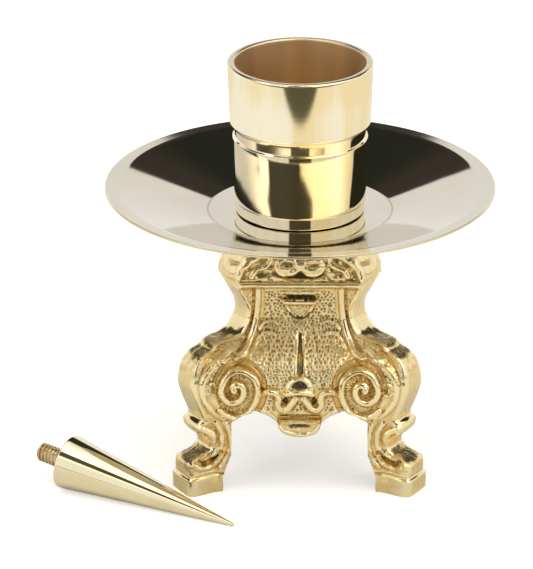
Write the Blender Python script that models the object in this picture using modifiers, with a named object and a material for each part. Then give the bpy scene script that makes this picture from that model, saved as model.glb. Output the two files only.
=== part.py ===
"""Altar candlestick in brass: a hollow tripod base cast in three sides, a dished drip pan, a candle cup that
screws down through the pan into the base, and a loose pricket spike that lies beside the foot.

Metres, +Z up. The floor is z = 0, and the origin is under the middle of the whole set's box, so the
candlestick's own axis stands a little to +X of it. Sizes below are millimetres, turned into metres by MM.
"""

import math

import bmesh
import bpy
from mathutils import Matrix, Vector

MM = 0.001
GAP = 0.3  # between pieces that rest on each other
ROUND_STEPS = 48

# Stack of pieces, from the floor up.
CASTING_TOP = 86.2
PLATE_THICKNESS = 3.0
PAN_THICKNESS = 0.9
CUP_HEIGHT = 50.8

PLATE_UNDERSIDE = CASTING_TOP + GAP
PLATE_TOP = PLATE_UNDERSIDE + PLATE_THICKNESS
PAN_UNDERSIDE = PLATE_TOP + GAP
WELL_TOP = PAN_UNDERSIDE + PAN_THICKNESS
CUP_BOTTOM = WELL_TOP + GAP
CUP_TOP = CUP_BOTTOM + CUP_HEIGHT

# Drip pan.
PAN_RADIUS = 63.5
WELL_RADIUS = 29.0
PAN_DEPTH = 8.4
LIP_WIDTH = 2.6
PAN_HOLE_RADIUS = 3.6

# Candle cup.
RIM_RADIUS = 23.7
MOUTH_RADIUS = 21.3
LIP_ROUNDING = 0.7
BORE_DEPTH = 46.0
BORE_FLOOR_RADIUS = 19.5
COLLAR_HEIGHT = 20.4
COLLAR_FOOT_RADIUS = 22.9
NECK_RADIUS = 21.0
NECK_DEPTH = 23.3
SHOULDER_RADIUS = 22.1
SHOULDER_DEPTH = 25.4
CUP_FOOT_RADIUS = 21.0
CUP_FOOT_ROUNDING = 0.9
RECESS_RADIUS = 17.5
RECESS_DEPTH = 0.9

# Quarter-inch thread, 20 turns to the inch.
THREAD_RADIUS = 3.175
THREAD_CLEARANCE = 0.1
THREAD_TURNS = 8
THREAD_PITCH = 1.27
STUD_END_CHAMFER = 0.6
STUD_IN_CUP = 2.6

# Bush, washer and nut in the top plate.
BUSH_FLANGE_RADIUS = 9.0
BUSH_FLANGE_THICKNESS = 1.2
BUSH_RADIUS = 6.0
BUSH_LENGTH = 13.5
WASHER_RADIUS = 10.5
WASHER_THICKNESS = 1.2
NUT_ACROSS_FLATS = 17.0
NUT_THICKNESS = 4.5
CUP_WASHER_RADIUS = 16.5
CUP_WASHER_THICKNESS = 0.5

# Tripod base. A side faces -Y, and the legs stand at 30 degrees to either side of it.
LEG_ANGLE = math.radians(30)
WALL = 2.4
FOOT_WALL = 4.2
FOOT_HEIGHT = 12.2
FACET_HALF_WIDTH = 4.9
# The leg's outer facet as smooth strokes, each with the facet's half width and (height, radius) points.
# A step in radius from one stroke to the next is a sharp break in the real casting.
LEG_STROKES = (
    (6.0, ((0.0, 44.9), (5.6, 44.9))),
    (5.5, ((6.2, 43.6), (9.5, 43.6), (12.0, 42.3))),
    (4.9, ((13.0, 38.2), (15.6, 35.9), (19.6, 38.0), (23.0, 40.4), (26.0, 39.5))),
    (4.9, ((27.0, 39.6), (31.0, 41.4), (38.6, 43.1), (44.0, 42.1), (47.7, 39.7), (49.2, 36.4))),
    (4.9, ((49.7, 34.4), (50.8, 33.2))),
    (4.9, ((51.6, 27.1), (53.0, 24.8), (57.5, 22.1), (63.0, 23.8), (67.5, 25.0))),
    (4.9, ((68.6, 25.4), (71.0, 27.0), (73.7, 27.3), (76.5, 26.3), (79.0, 24.6))),
    (4.9, ((82.0, 23.6), (CASTING_TOP, 23.2))),
)
STROKE_STEPS = 3
# Distance of the side's flat plan line from the axis, by height.
SIDE_DISTANCE = (
    (0.0, 22.8), (14.0, 22.0), (24.0, 23.3), (32.0, 25.1), (38.6, 25.8), (44.0, 24.4), (48.0, 21.6),
    (52.0, 17.8), (57.5, 15.3), (62.0, 15.6), (67.5, 16.9), (72.0, 18.2), (76.0, 17.6), (CASTING_TOP, 16.2),
)
# How far the leg's flank runs sideways from the facet's edge to the flat of the side, by height.
FLANK_RUN = ((0.0, 11.0), (14.0, 7.0), (24.0, 5.5), (32.0, 2.0), (CASTING_TOP, 1.5))

# The opening between two legs, seen square on to its side.
ARCH_FOOT_HALF_WIDTH = 25.0
ARCH_ANKLE_HALF_WIDTH = 22.3
ARCH_ANKLE_HEIGHT = 14.0
ARCH_SPRING_HEIGHT = 24.6
ARCH_RISE = 4.4
DROP_HALF_WIDTH = 7.0
DROP_DEPTH = 4.6
ARCH_STEPS = 8
CUT_NEAR = 8.0
CUT_FAR = 50.0

# Pricket lying on its side: place of the big end on the floor from the candlestick's axis, and its heading.
PRICKET_RADIUS = 9.05
PRICKET_TIP_RADIUS = 0.65
PRICKET_LENGTH = 64.0
PRICKET_EDGE = 0.5
PRICKET_STUD_LENGTH = 10.5
PRICKET_STUD_IN = 6.0
PRICKET_END = (-76.0, -18.9)
PRICKET_HEADING = math.radians(-30)
PRICKET_SLOPE = math.atan((PRICKET_RADIUS - PRICKET_TIP_RADIUS) / PRICKET_LENGTH)

PRICKET_DIRECTION = Vector(
    (
        math.cos(PRICKET_HEADING) * math.cos(PRICKET_SLOPE),
        math.sin(PRICKET_HEADING) * math.cos(PRICKET_SLOPE),
        -math.sin(PRICKET_SLOPE),
    )
)
# The stud's far end is the set's lowest X, and the pan's edge its highest.
STUD_REACH = (
    -PRICKET_END[0]
    + PRICKET_STUD_LENGTH * PRICKET_DIRECTION.x
    + (THREAD_RADIUS - STUD_END_CHAMFER) * math.sqrt(1 - PRICKET_DIRECTION.x**2)
)
AXIS_X = (STUD_REACH - PAN_RADIUS) / 2

# Base colour, roughness.
CAST_BRASS = ((0.66, 0.47, 0.19), 0.28)
POLISHED_BRASS = ((0.80, 0.66, 0.38), 0.12)
PALE_METAL = ((0.76, 0.70, 0.62), 0.08)
DARK_BRASS = ((0.50, 0.36, 0.17), 0.35)
WASHER_LEATHER = ((0.16, 0.10, 0.06), 0.80)


def clear_scene():
    for obj in list(bpy.data.objects):
        bpy.data.objects.remove(obj, do_unlink=True)


def new_collection(name):
    collection = bpy.data.collections.new(name)
    bpy.context.scene.collection.children.link(collection)
    return collection


def metal(name, look, metallic=1.0):
    colour, roughness = look
    material = bpy.data.materials.new(name)
    material.use_nodes = True
    shader = material.node_tree.nodes["Principled BSDF"]
    shader.inputs["Base Color"].default_value = (*colour, 1.0)
    shader.inputs["Roughness"].default_value = roughness
    shader.inputs["Metallic"].default_value = metallic
    return material


def add_object(name, mesh, collection, parent=None, look=None, metallic=1.0):
    obj = bpy.data.objects.new(name, mesh)
    collection.objects.link(obj)
    obj.parent = parent
    if look is not None:
        mesh.materials.append(metal(name, look, metallic))
    return obj


def profile_mesh(name, points, closed):
    """A chain of edges through (radius, height) points, to be turned about Z."""
    vertices = [(radius * MM, 0.0, height * MM) for radius, height in points]
    edges = [(i, i + 1) for i in range(len(points) - 1)]
    if closed:
        edges.append((len(points) - 1, 0))
    mesh = bpy.data.meshes.new(name)
    mesh.from_pydata(vertices, edges, [])
    return mesh


def turned(name, points, collection, parent, look=None, closed=True, metallic=1.0, steps=ROUND_STEPS):
    """A turned piece. The profile runs down its outer side; an open one starts and ends on the axis."""
    mesh = profile_mesh(name, points, closed)
    obj = add_object(name, mesh, collection, parent, look, metallic)
    screw = obj.modifiers.new("turn", "SCREW")
    screw.steps = steps
    screw.render_steps = steps
    screw.use_merge_vertices = True
    screw.merge_threshold = 0.00001
    screw.use_smooth_shade = True
    return obj


def ring_profile(inner, outer, low, high):
    return [(outer, high), (outer, low), (inner, low), (inner, high)]


def flat_outline(name, outlines, low, high):
    """A closed mesh between two heights, from flat outlines in millimetres; a second outline is a hole."""
    curve = bpy.data.curves.new(name, "CURVE")
    curve.dimensions = "2D"
    curve.fill_mode = "BOTH"
    curve.extrude = (high - low) / 2 * MM
    for outline in outlines:
        spline = curve.splines.new("POLY")
        spline.points.add(len(outline) - 1)
        for point, (x, y) in zip(spline.points, outline):
            point.co = (x * MM, y * MM, 0.0, 1.0)
        spline.use_cyclic_u = True
    holder = bpy.data.objects.new(name, curve)
    bpy.context.scene.collection.objects.link(holder)
    graph = bpy.context.evaluated_depsgraph_get()
    mesh = bpy.data.meshes.new_from_object(holder.evaluated_get(graph))
    bpy.data.objects.remove(holder, do_unlink=True)
    work = bmesh.new()
    work.from_mesh(mesh)
    bmesh.ops.remove_doubles(work, verts=work.verts, dist=0.000001)
    bmesh.ops.translate(work, verts=work.verts, vec=(0.0, 0.0, (low + high) / 2 * MM))
    bmesh.ops.recalc_face_normals(work, faces=work.faces)
    work.to_mesh(mesh)
    work.free()
    mesh.materials.clear()
    return mesh


def as_cutter(obj):
    obj.hide_render = True
    obj.display_type = "WIRE"
    return obj


def cut(obj, cutter):
    boolean = obj.modifiers.new("cut " + cutter.name, "BOOLEAN")
    boolean.operation = "DIFFERENCE"
    boolean.solver = "EXACT"
    boolean.object = cutter


def smooth_value(keys, at):
    """The smooth curve through (height, value) keys, read at one height."""
    last = len(keys) - 1
    i = max(k for k in range(last) if keys[k][0] <= at)
    (z0, v0), (z1, v1) = keys[i], keys[i + 1]
    before = keys[max(i - 1, 0)]
    after = keys[min(i + 2, last)]
    slope0 = (v1 - before[1]) / (z1 - before[0])
    slope1 = (after[1] - v0) / (after[0] - z0)
    t = (at - z0) / (z1 - z0)
    span = z1 - z0
    return (
        (2 * t**3 - 3 * t**2 + 1) * v0
        + (t**3 - 2 * t**2 + t) * span * slope0
        + (3 * t**2 - 2 * t**3) * v1
        + (t**3 - t**2) * span * slope1
    )


def leg_levels():
    """(height, facet radius, facet half width) up the leg."""
    levels = []
    for half_width, keys in LEG_STROKES:
        for (low, _), (high, _) in zip(keys, keys[1:]):
            steps = STROKE_STEPS if len(keys) > 2 else 1
            for k in range(steps):
                at = low + (high - low) * k / steps
                levels.append((at, smooth_value(keys, at), half_width))
        levels.append((keys[-1][0], keys[-1][1], half_width))
    return levels


def side_half_section(height, facet_radius, half_width, wall):
    """Half of a side's wall in plan, as points (x, distance from the axis towards the side), from the seam
    in the middle of the leg's facet to the middle of the side. wall is how far it lies inside the skin."""
    along = Vector((math.cos(LEG_ANGLE), math.sin(LEG_ANGLE)))
    across = Vector((-math.sin(LEG_ANGLE), math.cos(LEG_ANGLE)))
    radius = facet_radius - wall
    seam = along * radius + across * GAP / 2
    edge = along * radius + across * (half_width - 0.58 * wall)
    distance = smooth_value(SIDE_DISTANCE, height) - wall
    root_x = (along * facet_radius + across * half_width).x - smooth_value(FLANK_RUN, height)
    root = Vector((root_x - 0.25 * wall, distance))
    return [seam, edge, root, Vector((0.0, distance))]


def side_section(height, facet_radius, half_width):
    """One closed loop round the wall of a side casting at a height, on the side that faces -Y."""
    wall = FOOT_WALL if height < FOOT_HEIGHT else WALL
    outer = side_half_section(height, facet_radius, half_width, 0.0)
    inner = side_half_section(height, facet_radius, half_width, wall)
    right_out = [(p.x, -p.y) for p in outer]
    left_out = [(-p.x, -p.y) for p in reversed(outer[:-1])]
    left_in = [(-p.x, -p.y) for p in inner]
    right_in = [(p.x, -p.y) for p in reversed(inner[:-1])]
    return [(x * MM, y * MM, height * MM) for x, y in right_out + left_out + left_in + right_in]


def loft(name, sections):
    """A closed solid through a stack of loops that have the same number of points."""
    work = bmesh.new()
    rings = [[work.verts.new(point) for point in section] for section in sections]
    for low, high in zip(rings, rings[1:]):
        for i in range(len(low)):
            j = (i + 1) % len(low)
            work.faces.new((low[i], low[j], high[j], high[i]))
    work.faces.new(rings[0])
    work.faces.new(rings[-1])
    bmesh.ops.recalc_face_normals(work, faces=work.faces)
    mesh = bpy.data.meshes.new(name)
    work.to_mesh(mesh)
    work.free()
    return mesh


def arch_outline():
    """The opening between two legs: half, from the floor up the leg, over the arch and down the middle drop."""
    half = [
        (ARCH_FOOT_HALF_WIDTH, -1.0),
        (ARCH_FOOT_HALF_WIDTH, 4.5),
        (ARCH_ANKLE_HALF_WIDTH + 0.7, ARCH_ANKLE_HEIGHT - 3.0),
        (ARCH_ANKLE_HALF_WIDTH, ARCH_ANKLE_HEIGHT),
    ]
    for k in range(ARCH_STEPS + 1):
        t = k / ARCH_STEPS
        x = ARCH_ANKLE_HALF_WIDTH + (DROP_HALF_WIDTH - ARCH_ANKLE_HALF_WIDTH) * t
        half.append((x, ARCH_SPRING_HEIGHT + ARCH_RISE * math.sin(math.pi * t) ** 0.8))
    for k in range(1, ARCH_STEPS):
        turn = math.pi / 2 * k / ARCH_STEPS
        half.append((DROP_HALF_WIDTH * math.cos(turn), ARCH_SPRING_HEIGHT - DROP_DEPTH * math.sin(turn)))
    other = [(-x, z) for x, z in reversed(half)]
    return half + [(0.0, ARCH_SPRING_HEIGHT - DROP_DEPTH)] + other


def base_castings(parts, cutters, axis):
    """Three alike sides, mitred in the middle of each leg and brazed together there."""
    side_mesh = loft("side_casting", [side_section(*level) for level in leg_levels()])
    side_mesh.materials.append(metal("side_casting", CAST_BRASS))
    arch_mesh = flat_outline("arch_cutter", [arch_outline()], CUT_NEAR, CUT_FAR)
    arch_mesh.transform(Matrix.Rotation(math.pi / 2, 4, "X"))
    for name, turn in (("front", 0.0), ("right", 120.0), ("left", 240.0)):
        side = add_object("side_casting_" + name, side_mesh, parts, axis)
        side.rotation_euler.z = math.radians(turn)
        cutter = as_cutter(add_object("arch_cutter_" + name, arch_mesh, cutters, axis))
        cutter.rotation_euler.z = math.radians(turn)
        cut(side, cutter)


def plate_outline():
    """Plan of the base's top: three long sides and three short facets."""
    corners = []
    for leg in range(3):
        angle = -LEG_ANGLE + leg * math.tau / 3
        along = Vector((math.cos(angle), math.sin(angle)))
        across = Vector((-math.sin(angle), math.cos(angle)))
        for side in (-1, 1):
            corner = along * LEG_STROKES[-1][1][-1][1] + across * FACET_HALF_WIDTH * side
            corners.append((corner.x, corner.y))
    return corners


def top_plate(parts, cutters, axis):
    mesh = flat_outline("top_plate", [plate_outline()], PLATE_UNDERSIDE, PLATE_TOP)
    plate = add_object("top_plate", mesh, parts, axis, CAST_BRASS)
    hole_radius = BUSH_RADIUS + GAP
    sink_radius = BUSH_FLANGE_RADIUS + GAP
    sink_floor = PLATE_TOP - BUSH_FLANGE_THICKNESS - GAP
    profile = [
        (0.0, PLATE_TOP + 5.0),
        (sink_radius, PLATE_TOP + 5.0),
        (sink_radius, sink_floor),
        (hole_radius, sink_floor),
        (hole_radius, PLATE_UNDERSIDE - 5.0),
        (0.0, PLATE_UNDERSIDE - 5.0),
    ]
    cut(plate, as_cutter(turned("bush_cutter", profile, cutters, axis, closed=False)))


def bush_and_nut(parts, axis):
    bore = THREAD_RADIUS + THREAD_CLEARANCE
    flange_underside = PLATE_TOP - BUSH_FLANGE_THICKNESS
    bush_low = PLATE_TOP - BUSH_LENGTH
    bush = [
        (BUSH_FLANGE_RADIUS, PLATE_TOP),
        (BUSH_FLANGE_RADIUS, flange_underside),
        (BUSH_RADIUS, flange_underside),
        (BUSH_RADIUS, bush_low),
        (bore, bush_low),
        (bore, PLATE_TOP),
    ]
    turned("threaded_bush", bush, parts, axis, DARK_BRASS)
    washer_high = PLATE_UNDERSIDE - GAP
    washer_low = washer_high - WASHER_THICKNESS
    washer = ring_profile(BUSH_RADIUS + GAP, WASHER_RADIUS, washer_low, washer_high)
    turned("bush_washer", washer, parts, axis, DARK_BRASS)
    nut_high = washer_low - GAP
    corner = NUT_ACROSS_FLATS / math.sqrt(3)
    hexagon = [(corner * math.cos(k * math.tau / 6), corner * math.sin(k * math.tau / 6)) for k in range(6)]
    hole = [
        ((BUSH_RADIUS + GAP) * math.cos(k * math.tau / 48), (BUSH_RADIUS + GAP) * math.sin(k * math.tau / 48))
        for k in range(48)
    ]
    mesh = flat_outline("bush_nut", [hexagon, hole], nut_high - NUT_THICKNESS, nut_high)
    add_object("bush_nut", mesh, parts, axis, DARK_BRASS)


def drip_pan(parts, axis):
    """A flat well, a cone that rises to the lip, and the nearly level lip, all of one sheet thickness."""
    lip_start = PAN_RADIUS - LIP_WIDTH
    top = [
        (PAN_HOLE_RADIUS, WELL_TOP),
        (WELL_RADIUS - 0.8, WELL_TOP),
        (WELL_RADIUS + 0.8, WELL_TOP + 0.25),
        (lip_start - 0.6, WELL_TOP + PAN_DEPTH - 0.35),
        (lip_start + 0.6, WELL_TOP + PAN_DEPTH - 0.1),
        (PAN_RADIUS, WELL_TOP + PAN_DEPTH),
    ]
    under = [(radius, height - PAN_THICKNESS) for radius, height in reversed(top)]
    turned("drip_pan", top + under, parts, axis, PALE_METAL, steps=72)


def candle_cup(parts, axis):
    floor = CUP_TOP - BORE_DEPTH
    recess = CUP_BOTTOM + RECESS_DEPTH
    stud_hole = THREAD_RADIUS + GAP
    lip = [
        (MOUTH_RADIUS + LIP_ROUNDING * (1 - math.cos(turn)), CUP_TOP - LIP_ROUNDING * (1 - math.sin(turn)))
        for turn in (0.0, math.pi / 4, math.pi / 2)
    ]
    lip += [
        (RIM_RADIUS - LIP_ROUNDING * (1 - math.sin(turn)), CUP_TOP - LIP_ROUNDING * (1 - math.cos(turn)))
        for turn in (0.0, math.pi / 4, math.pi / 2)
    ]
    profile = [(0.0, floor), (BORE_FLOOR_RADIUS - 1.0, floor), (BORE_FLOOR_RADIUS, floor + 1.0)]
    profile += lip
    profile += [
        (COLLAR_FOOT_RADIUS, CUP_TOP - COLLAR_HEIGHT),
        (NECK_RADIUS + 0.5, CUP_TOP - COLLAR_HEIGHT - 1.2),
        (NECK_RADIUS, CUP_TOP - NECK_DEPTH),
        (NECK_RADIUS, CUP_TOP - SHOULDER_DEPTH + 0.5),
        (SHOULDER_RADIUS, CUP_TOP - SHOULDER_DEPTH),
        (CUP_FOOT_RADIUS, CUP_BOTTOM + CUP_FOOT_ROUNDING),
        (CUP_FOOT_RADIUS - CUP_FOOT_ROUNDING * 0.3, CUP_BOTTOM + CUP_FOOT_ROUNDING * 0.3),
        (CUP_FOOT_RADIUS - CUP_FOOT_ROUNDING, CUP_BOTTOM),
        (RECESS_RADIUS, CUP_BOTTOM),
        (RECESS_RADIUS, recess),
        (stud_hole, recess),
        (stud_hole, recess + STUD_IN_CUP + GAP),
        (0.0, recess + STUD_IN_CUP + GAP),
    ]
    turned("candle_cup", profile, parts, axis, POLISHED_BRASS, closed=False)
    washer = ring_profile(
        THREAD_RADIUS + GAP, CUP_WASHER_RADIUS, CUP_BOTTOM, CUP_BOTTOM + CUP_WASHER_THICKNESS
    )
    turned("cup_washer", washer, parts, axis, WASHER_LEATHER, metallic=0.0)
    stud_low = PLATE_TOP - THREAD_TURNS * THREAD_PITCH
    turned("cup_stud", stud_profile(stud_low, recess + STUD_IN_CUP), parts, axis, DARK_BRASS, closed=False)


def stud_profile(low, high):
    return [
        (0.0, high),
        (THREAD_RADIUS, high),
        (THREAD_RADIUS, low + STUD_END_CHAMFER),
        (THREAD_RADIUS - STUD_END_CHAMFER, low),
        (0.0, low),
    ]


def pricket(parts, axis):
    """The spike and its stud are turned about an empty whose +Z runs from the big end to the tip."""
    holder = bpy.data.objects.new("pricket_axis", None)
    parts.objects.link(holder)
    holder.parent = axis
    end_height = PRICKET_RADIUS * math.cos(PRICKET_SLOPE)
    holder.location = (PRICKET_END[0] * MM, PRICKET_END[1] * MM, end_height * MM)
    holder.rotation_mode = "QUATERNION"
    holder.rotation_quaternion = PRICKET_DIRECTION.to_track_quat("Z", "Y")
    hole = THREAD_RADIUS + GAP
    tip = [
        (
            PRICKET_TIP_RADIUS * math.sin(turn),
            PRICKET_LENGTH - PRICKET_TIP_RADIUS * (1 - math.cos(turn)),
        )
        for turn in (0.0, math.pi / 6, math.pi / 3)
    ]
    edge_drop = PRICKET_EDGE * math.tan(PRICKET_SLOPE)
    spike = tip + [
        (PRICKET_TIP_RADIUS, PRICKET_LENGTH - PRICKET_TIP_RADIUS),
        (PRICKET_RADIUS - edge_drop, PRICKET_EDGE),
        (PRICKET_RADIUS - PRICKET_EDGE, 0.0),
        (hole, 0.0),
        (hole, PRICKET_STUD_IN + GAP),
        (0.0, PRICKET_STUD_IN + GAP),
    ]
    turned("pricket", spike, parts, holder, POLISHED_BRASS, closed=False)
    stud = stud_profile(-PRICKET_STUD_LENGTH, PRICKET_STUD_IN)
    turned("pricket_stud", stud, parts, holder, DARK_BRASS, closed=False)


def main():
    clear_scene()
    parts = new_collection("altar_candlestick")
    cutters = new_collection("cutters")
    axis = bpy.data.objects.new("candlestick_axis", None)
    parts.objects.link(axis)
    axis.location.x = AXIS_X * MM
    base_castings(parts, cutters, axis)
    top_plate(parts, cutters, axis)
    bush_and_nut(parts, axis)
    drip_pan(parts, axis)
    candle_cup(parts, axis)
    pricket(parts, axis)
    bpy.context.view_layer.update()


main()
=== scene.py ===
# %% [markdown]
# # An altar candlestick in brass
# The solid model of the candlestick arrives as a fixed frame: every piece is already in its place and has
# its true size. This lesson makes the surfaces that are seen. The base gets its chased ornament, the
# turned pieces get rounded edges and screw threads, and each metal gets a finish of its own.

# %% Load the frame
import math

import bmesh
import bpy
import numpy as np
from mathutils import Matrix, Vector


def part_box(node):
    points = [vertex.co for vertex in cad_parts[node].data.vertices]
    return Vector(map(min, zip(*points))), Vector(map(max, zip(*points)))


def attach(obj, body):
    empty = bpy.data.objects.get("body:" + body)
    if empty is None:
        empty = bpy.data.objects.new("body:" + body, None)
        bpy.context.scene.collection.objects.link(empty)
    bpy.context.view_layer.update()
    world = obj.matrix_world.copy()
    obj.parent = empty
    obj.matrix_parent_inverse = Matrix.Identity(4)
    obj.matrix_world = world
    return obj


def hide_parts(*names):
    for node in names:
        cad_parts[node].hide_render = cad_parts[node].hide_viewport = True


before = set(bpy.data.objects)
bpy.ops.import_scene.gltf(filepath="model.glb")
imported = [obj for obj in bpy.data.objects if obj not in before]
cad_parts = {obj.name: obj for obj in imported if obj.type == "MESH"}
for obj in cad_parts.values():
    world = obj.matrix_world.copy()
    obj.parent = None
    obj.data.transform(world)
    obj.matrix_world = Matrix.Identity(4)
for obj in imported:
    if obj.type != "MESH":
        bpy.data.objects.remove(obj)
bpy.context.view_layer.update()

MM = 0.001

def box_mm(node):
    """The node's lowest and highest corners, in millimetres."""
    return [np.array(corner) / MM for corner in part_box(node)]

pan_low, pan_high = box_mm("drip_pan")
cup_low, cup_high = box_mm("candle_cup")
washer_low, washer_high = box_mm("cup_washer")
AXIS = (pan_low + pan_high) / 2 * np.array([1.0, 1.0, 0.0])
PAN_RADIUS = (pan_high - pan_low)[0] / 2
RIM_RADIUS = (cup_high - cup_low)[0] / 2
CASTING_TOP = box_mm("side_casting_front")[1][2]
print("axis at", AXIS, "pan radius", PAN_RADIUS, "rim radius", RIM_RADIUS)

# %% [markdown]
# ## Meshes from arrays
# A surface is worked out as an array of points with two directions, rows and columns. One helper welds the
# points that fall on each other, so that seams and poles close, turns the faces outwards by the sign of the
# volume that they enclose, and hands the arrays to Blender in one go.

# %% Mesh helpers
WELD = 0.0005  # millimetres

def grid_triangles(rows, columns, first=0):
    """Two triangles for each cell of a rows by columns grid of points numbered row after row."""
    index = first + np.arange(rows * columns).reshape(rows, columns)
    a, b, c, d = index[:-1, :-1], index[:-1, 1:], index[1:, 1:], index[1:, :-1]
    return np.concatenate([np.stack([a, b, c], -1).reshape(-1, 3), np.stack([a, c, d], -1).reshape(-1, 3)])

def enclosed_volume(points, triangles):
    """A sixth of the sum of each triangle's scalar triple product: positive when the faces look outwards."""
    p, q, r = points[triangles[:, 0]], points[triangles[:, 1]], points[triangles[:, 2]]
    return np.einsum("ij,ij->i", p, np.cross(q, r)).sum() / 6

def make_mesh(name, points, triangles, sharp_angle=40.0, marks=None):
    """An object at the origin from points in millimetres. marks holds one value per point under each name."""
    keys = np.round(points / WELD).astype(np.int64)
    _, first, weld = np.unique(keys, axis=0, return_index=True, return_inverse=True)
    weld = weld.reshape(-1)
    triangles = weld[triangles]
    points = points[first]
    a, b, c = triangles.T
    triangles = triangles[(a != b) & (b != c) & (c != a)]
    if enclosed_volume(points, triangles) < 0:
        triangles = triangles[:, ::-1]
    mesh = bpy.data.meshes.new(name)
    mesh.vertices.add(len(points))
    mesh.vertices.foreach_set("co", (points * MM).astype(np.float32).ravel())
    mesh.loops.add(triangles.size)
    mesh.loops.foreach_set("vertex_index", triangles.astype(np.int32).ravel())
    mesh.polygons.add(len(triangles))
    mesh.polygons.foreach_set("loop_start", np.arange(0, triangles.size, 3, dtype=np.int32))
    mesh.update(calc_edges=True)
    mesh.validate()
    mesh.polygons.foreach_set("use_smooth", np.ones(len(mesh.polygons), dtype=bool))
    mesh.set_sharp_from_angle(angle=math.radians(sharp_angle))
    for mark, values in (marks or {}).items():
        attribute = mesh.attributes.new(mark, "FLOAT", "POINT")
        attribute.data.foreach_set("value", values[first].astype(np.float32))
    obj = bpy.data.objects.new(name, mesh)
    bpy.context.scene.collection.objects.link(obj)
    print(name, len(mesh.polygons), "triangles")
    return obj

# %% [markdown]
# ## Turned pieces
# A lathe makes a piece from one profile. The corners of a real turned profile are broken with a file, so
# each corner here gets a small round, with a point just before and after it that keeps the long walls
# shading flat.

# %% Turned surfaces
def rounded(points, radii, steps=6, closed=False):
    """The chain of points with each corner replaced by a quadratic curve that starts and ends one radius away
    from the corner: (1-t)^2 before + 2t(1-t) corner + t^2 after."""
    points = np.array(points, float)
    count = len(points)
    out = []
    for i, radius in enumerate(radii):
        here = points[i]
        if radius == 0 or (not closed and i in (0, count - 1)):
            out.append(here[None])
            continue
        back, ahead = points[i - 1] - here, points[(i + 1) % count] - here
        reach_back, reach_ahead = np.linalg.norm(back), np.linalg.norm(ahead)
        reach = min(radius, reach_back * 0.45, reach_ahead * 0.45)
        start, end = here + back / reach_back * reach, here + ahead / reach_ahead * reach
        t = np.linspace(0, 1, steps + 1)[:, None]
        arc = (1 - t) ** 2 * start + 2 * t * (1 - t) * here + t**2 * end
        lead_in, lead_out = start + back / reach_back * reach * 0.1, end + ahead / reach_ahead * reach * 0.1
        out += [lead_in[None], arc, lead_out[None]]
    out = np.concatenate(out)
    return np.concatenate([out, out[:1]]) if closed else out

def turned_points(profile, segments):
    """Rows follow the profile of (radius, height); columns go round: x = r cos a, y = r sin a."""
    angle = np.linspace(0, math.tau, segments + 1)
    radius, height = profile[:, :1], profile[:, 1:]
    x, y = radius * np.cos(angle), radius * np.sin(angle)
    return np.stack([x, y, np.broadcast_to(height, x.shape)], -1)

def turned(name, profile, segments, place=None):
    """A turned piece about the candlestick's axis, or carried to another place by a function of its
    points."""
    grid = turned_points(np.array(profile, float), segments)
    points = grid.reshape(-1, 3)
    points = points + AXIS if place is None else place(points)
    return make_mesh(name, points, grid_triangles(*grid.shape[:2]))

def screw_thread(low, high, major, pitch, segments=48, per_turn=12, chamfer=0.7):
    """Rows go up the thread and columns round it. The radius falls from the crest by the depth times a
    cosine wave of (height / pitch - angle / full turn) with its ends cut flat, and tapers at both
    chamfered ends."""
    depth = 0.6 * pitch
    rows = int((high - low) / pitch * per_turn) + 1
    height = np.linspace(low, high, rows)[:, None]
    angle = np.linspace(0, math.tau, segments + 1)[None]
    phase = (height / pitch - angle / math.tau) % 1.0
    wave = 0.5 - 0.5 * np.cos(math.tau * phase)
    radius = major - depth * np.clip(wave * 1.25 - 0.12, 0, 1)
    radius = np.minimum(radius, major - chamfer + np.minimum(height - low, high - height))
    x, y = radius * np.cos(angle), radius * np.sin(angle)
    grid = np.stack([x, y, np.broadcast_to(height, x.shape)], -1)
    end_low = np.broadcast_to(np.array([0, 0, low], float), grid[:1].shape)
    end_high = np.broadcast_to(np.array([0, 0, high], float), grid[:1].shape)
    return np.concatenate([end_low, grid, end_high])

print("a rounded corner takes", len(rounded([(0, 0), (5, 0), (5, 5)], [0, 1, 0])) - 2, "points")

# %% [markdown]
# ## The leg's curve
# Seen from the side, each leg is a string of smooth strokes with sharp breaks between them: foot block, toe,
# ankle, scroll knob, knee, shoulder roll, neck and cornice. The same heights and radii shape the whole base,
# because its plan is a triangle with its corners cut off: a corner's radius says how far out the sides lie.

# %% The leg's strokes
# Every pair is a height and what is true there, in millimetres: STROKES how far the facet lies from the
# axis, SIDE how far the flat of a side does, HALF_WIDTH half the facet's width, STILE where the arch's edge
# ends, FLANK how wide the bend from the flat to the facet's edge is, and WALL how thick the casting is.
STROKES = (
    ((0.0, 44.9), (5.6, 44.9)),
    ((5.9, 43.9), (8.0, 44.3), (10.6, 43.9), (12.2, 42.0)),
    ((12.9, 38.6), (15.4, 36.0), (18.6, 37.2), (20.2, 38.8)),
    ((20.5, 39.7), (22.0, 40.9), (23.6, 41.1), (25.2, 40.2)),
    ((25.7, 39.2), (28.4, 40.2), (31.0, 41.3), (35.0, 42.6), (38.6, 43.1), (44.0, 42.1), (47.2, 39.9),
     (48.8, 36.9)),
    ((49.1, 35.6), (49.9, 35.2), (50.9, 33.8), (51.5, 31.2)),
    ((51.9, 27.8), (53.4, 25.4), (55.6, 23.5), (58.0, 22.3), (60.6, 22.0), (63.0, 22.6), (65.2, 23.8),
     (67.3, 25.0)),
    ((67.8, 25.2), (69.0, 25.9), (70.2, 26.0), (71.2, 25.6)),
    ((71.5, 26.6), (73.7, 27.3), (76.5, 26.6), (79.0, 24.9), (82.0, 23.8), (CASTING_TOP, 23.2)),
)
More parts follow.
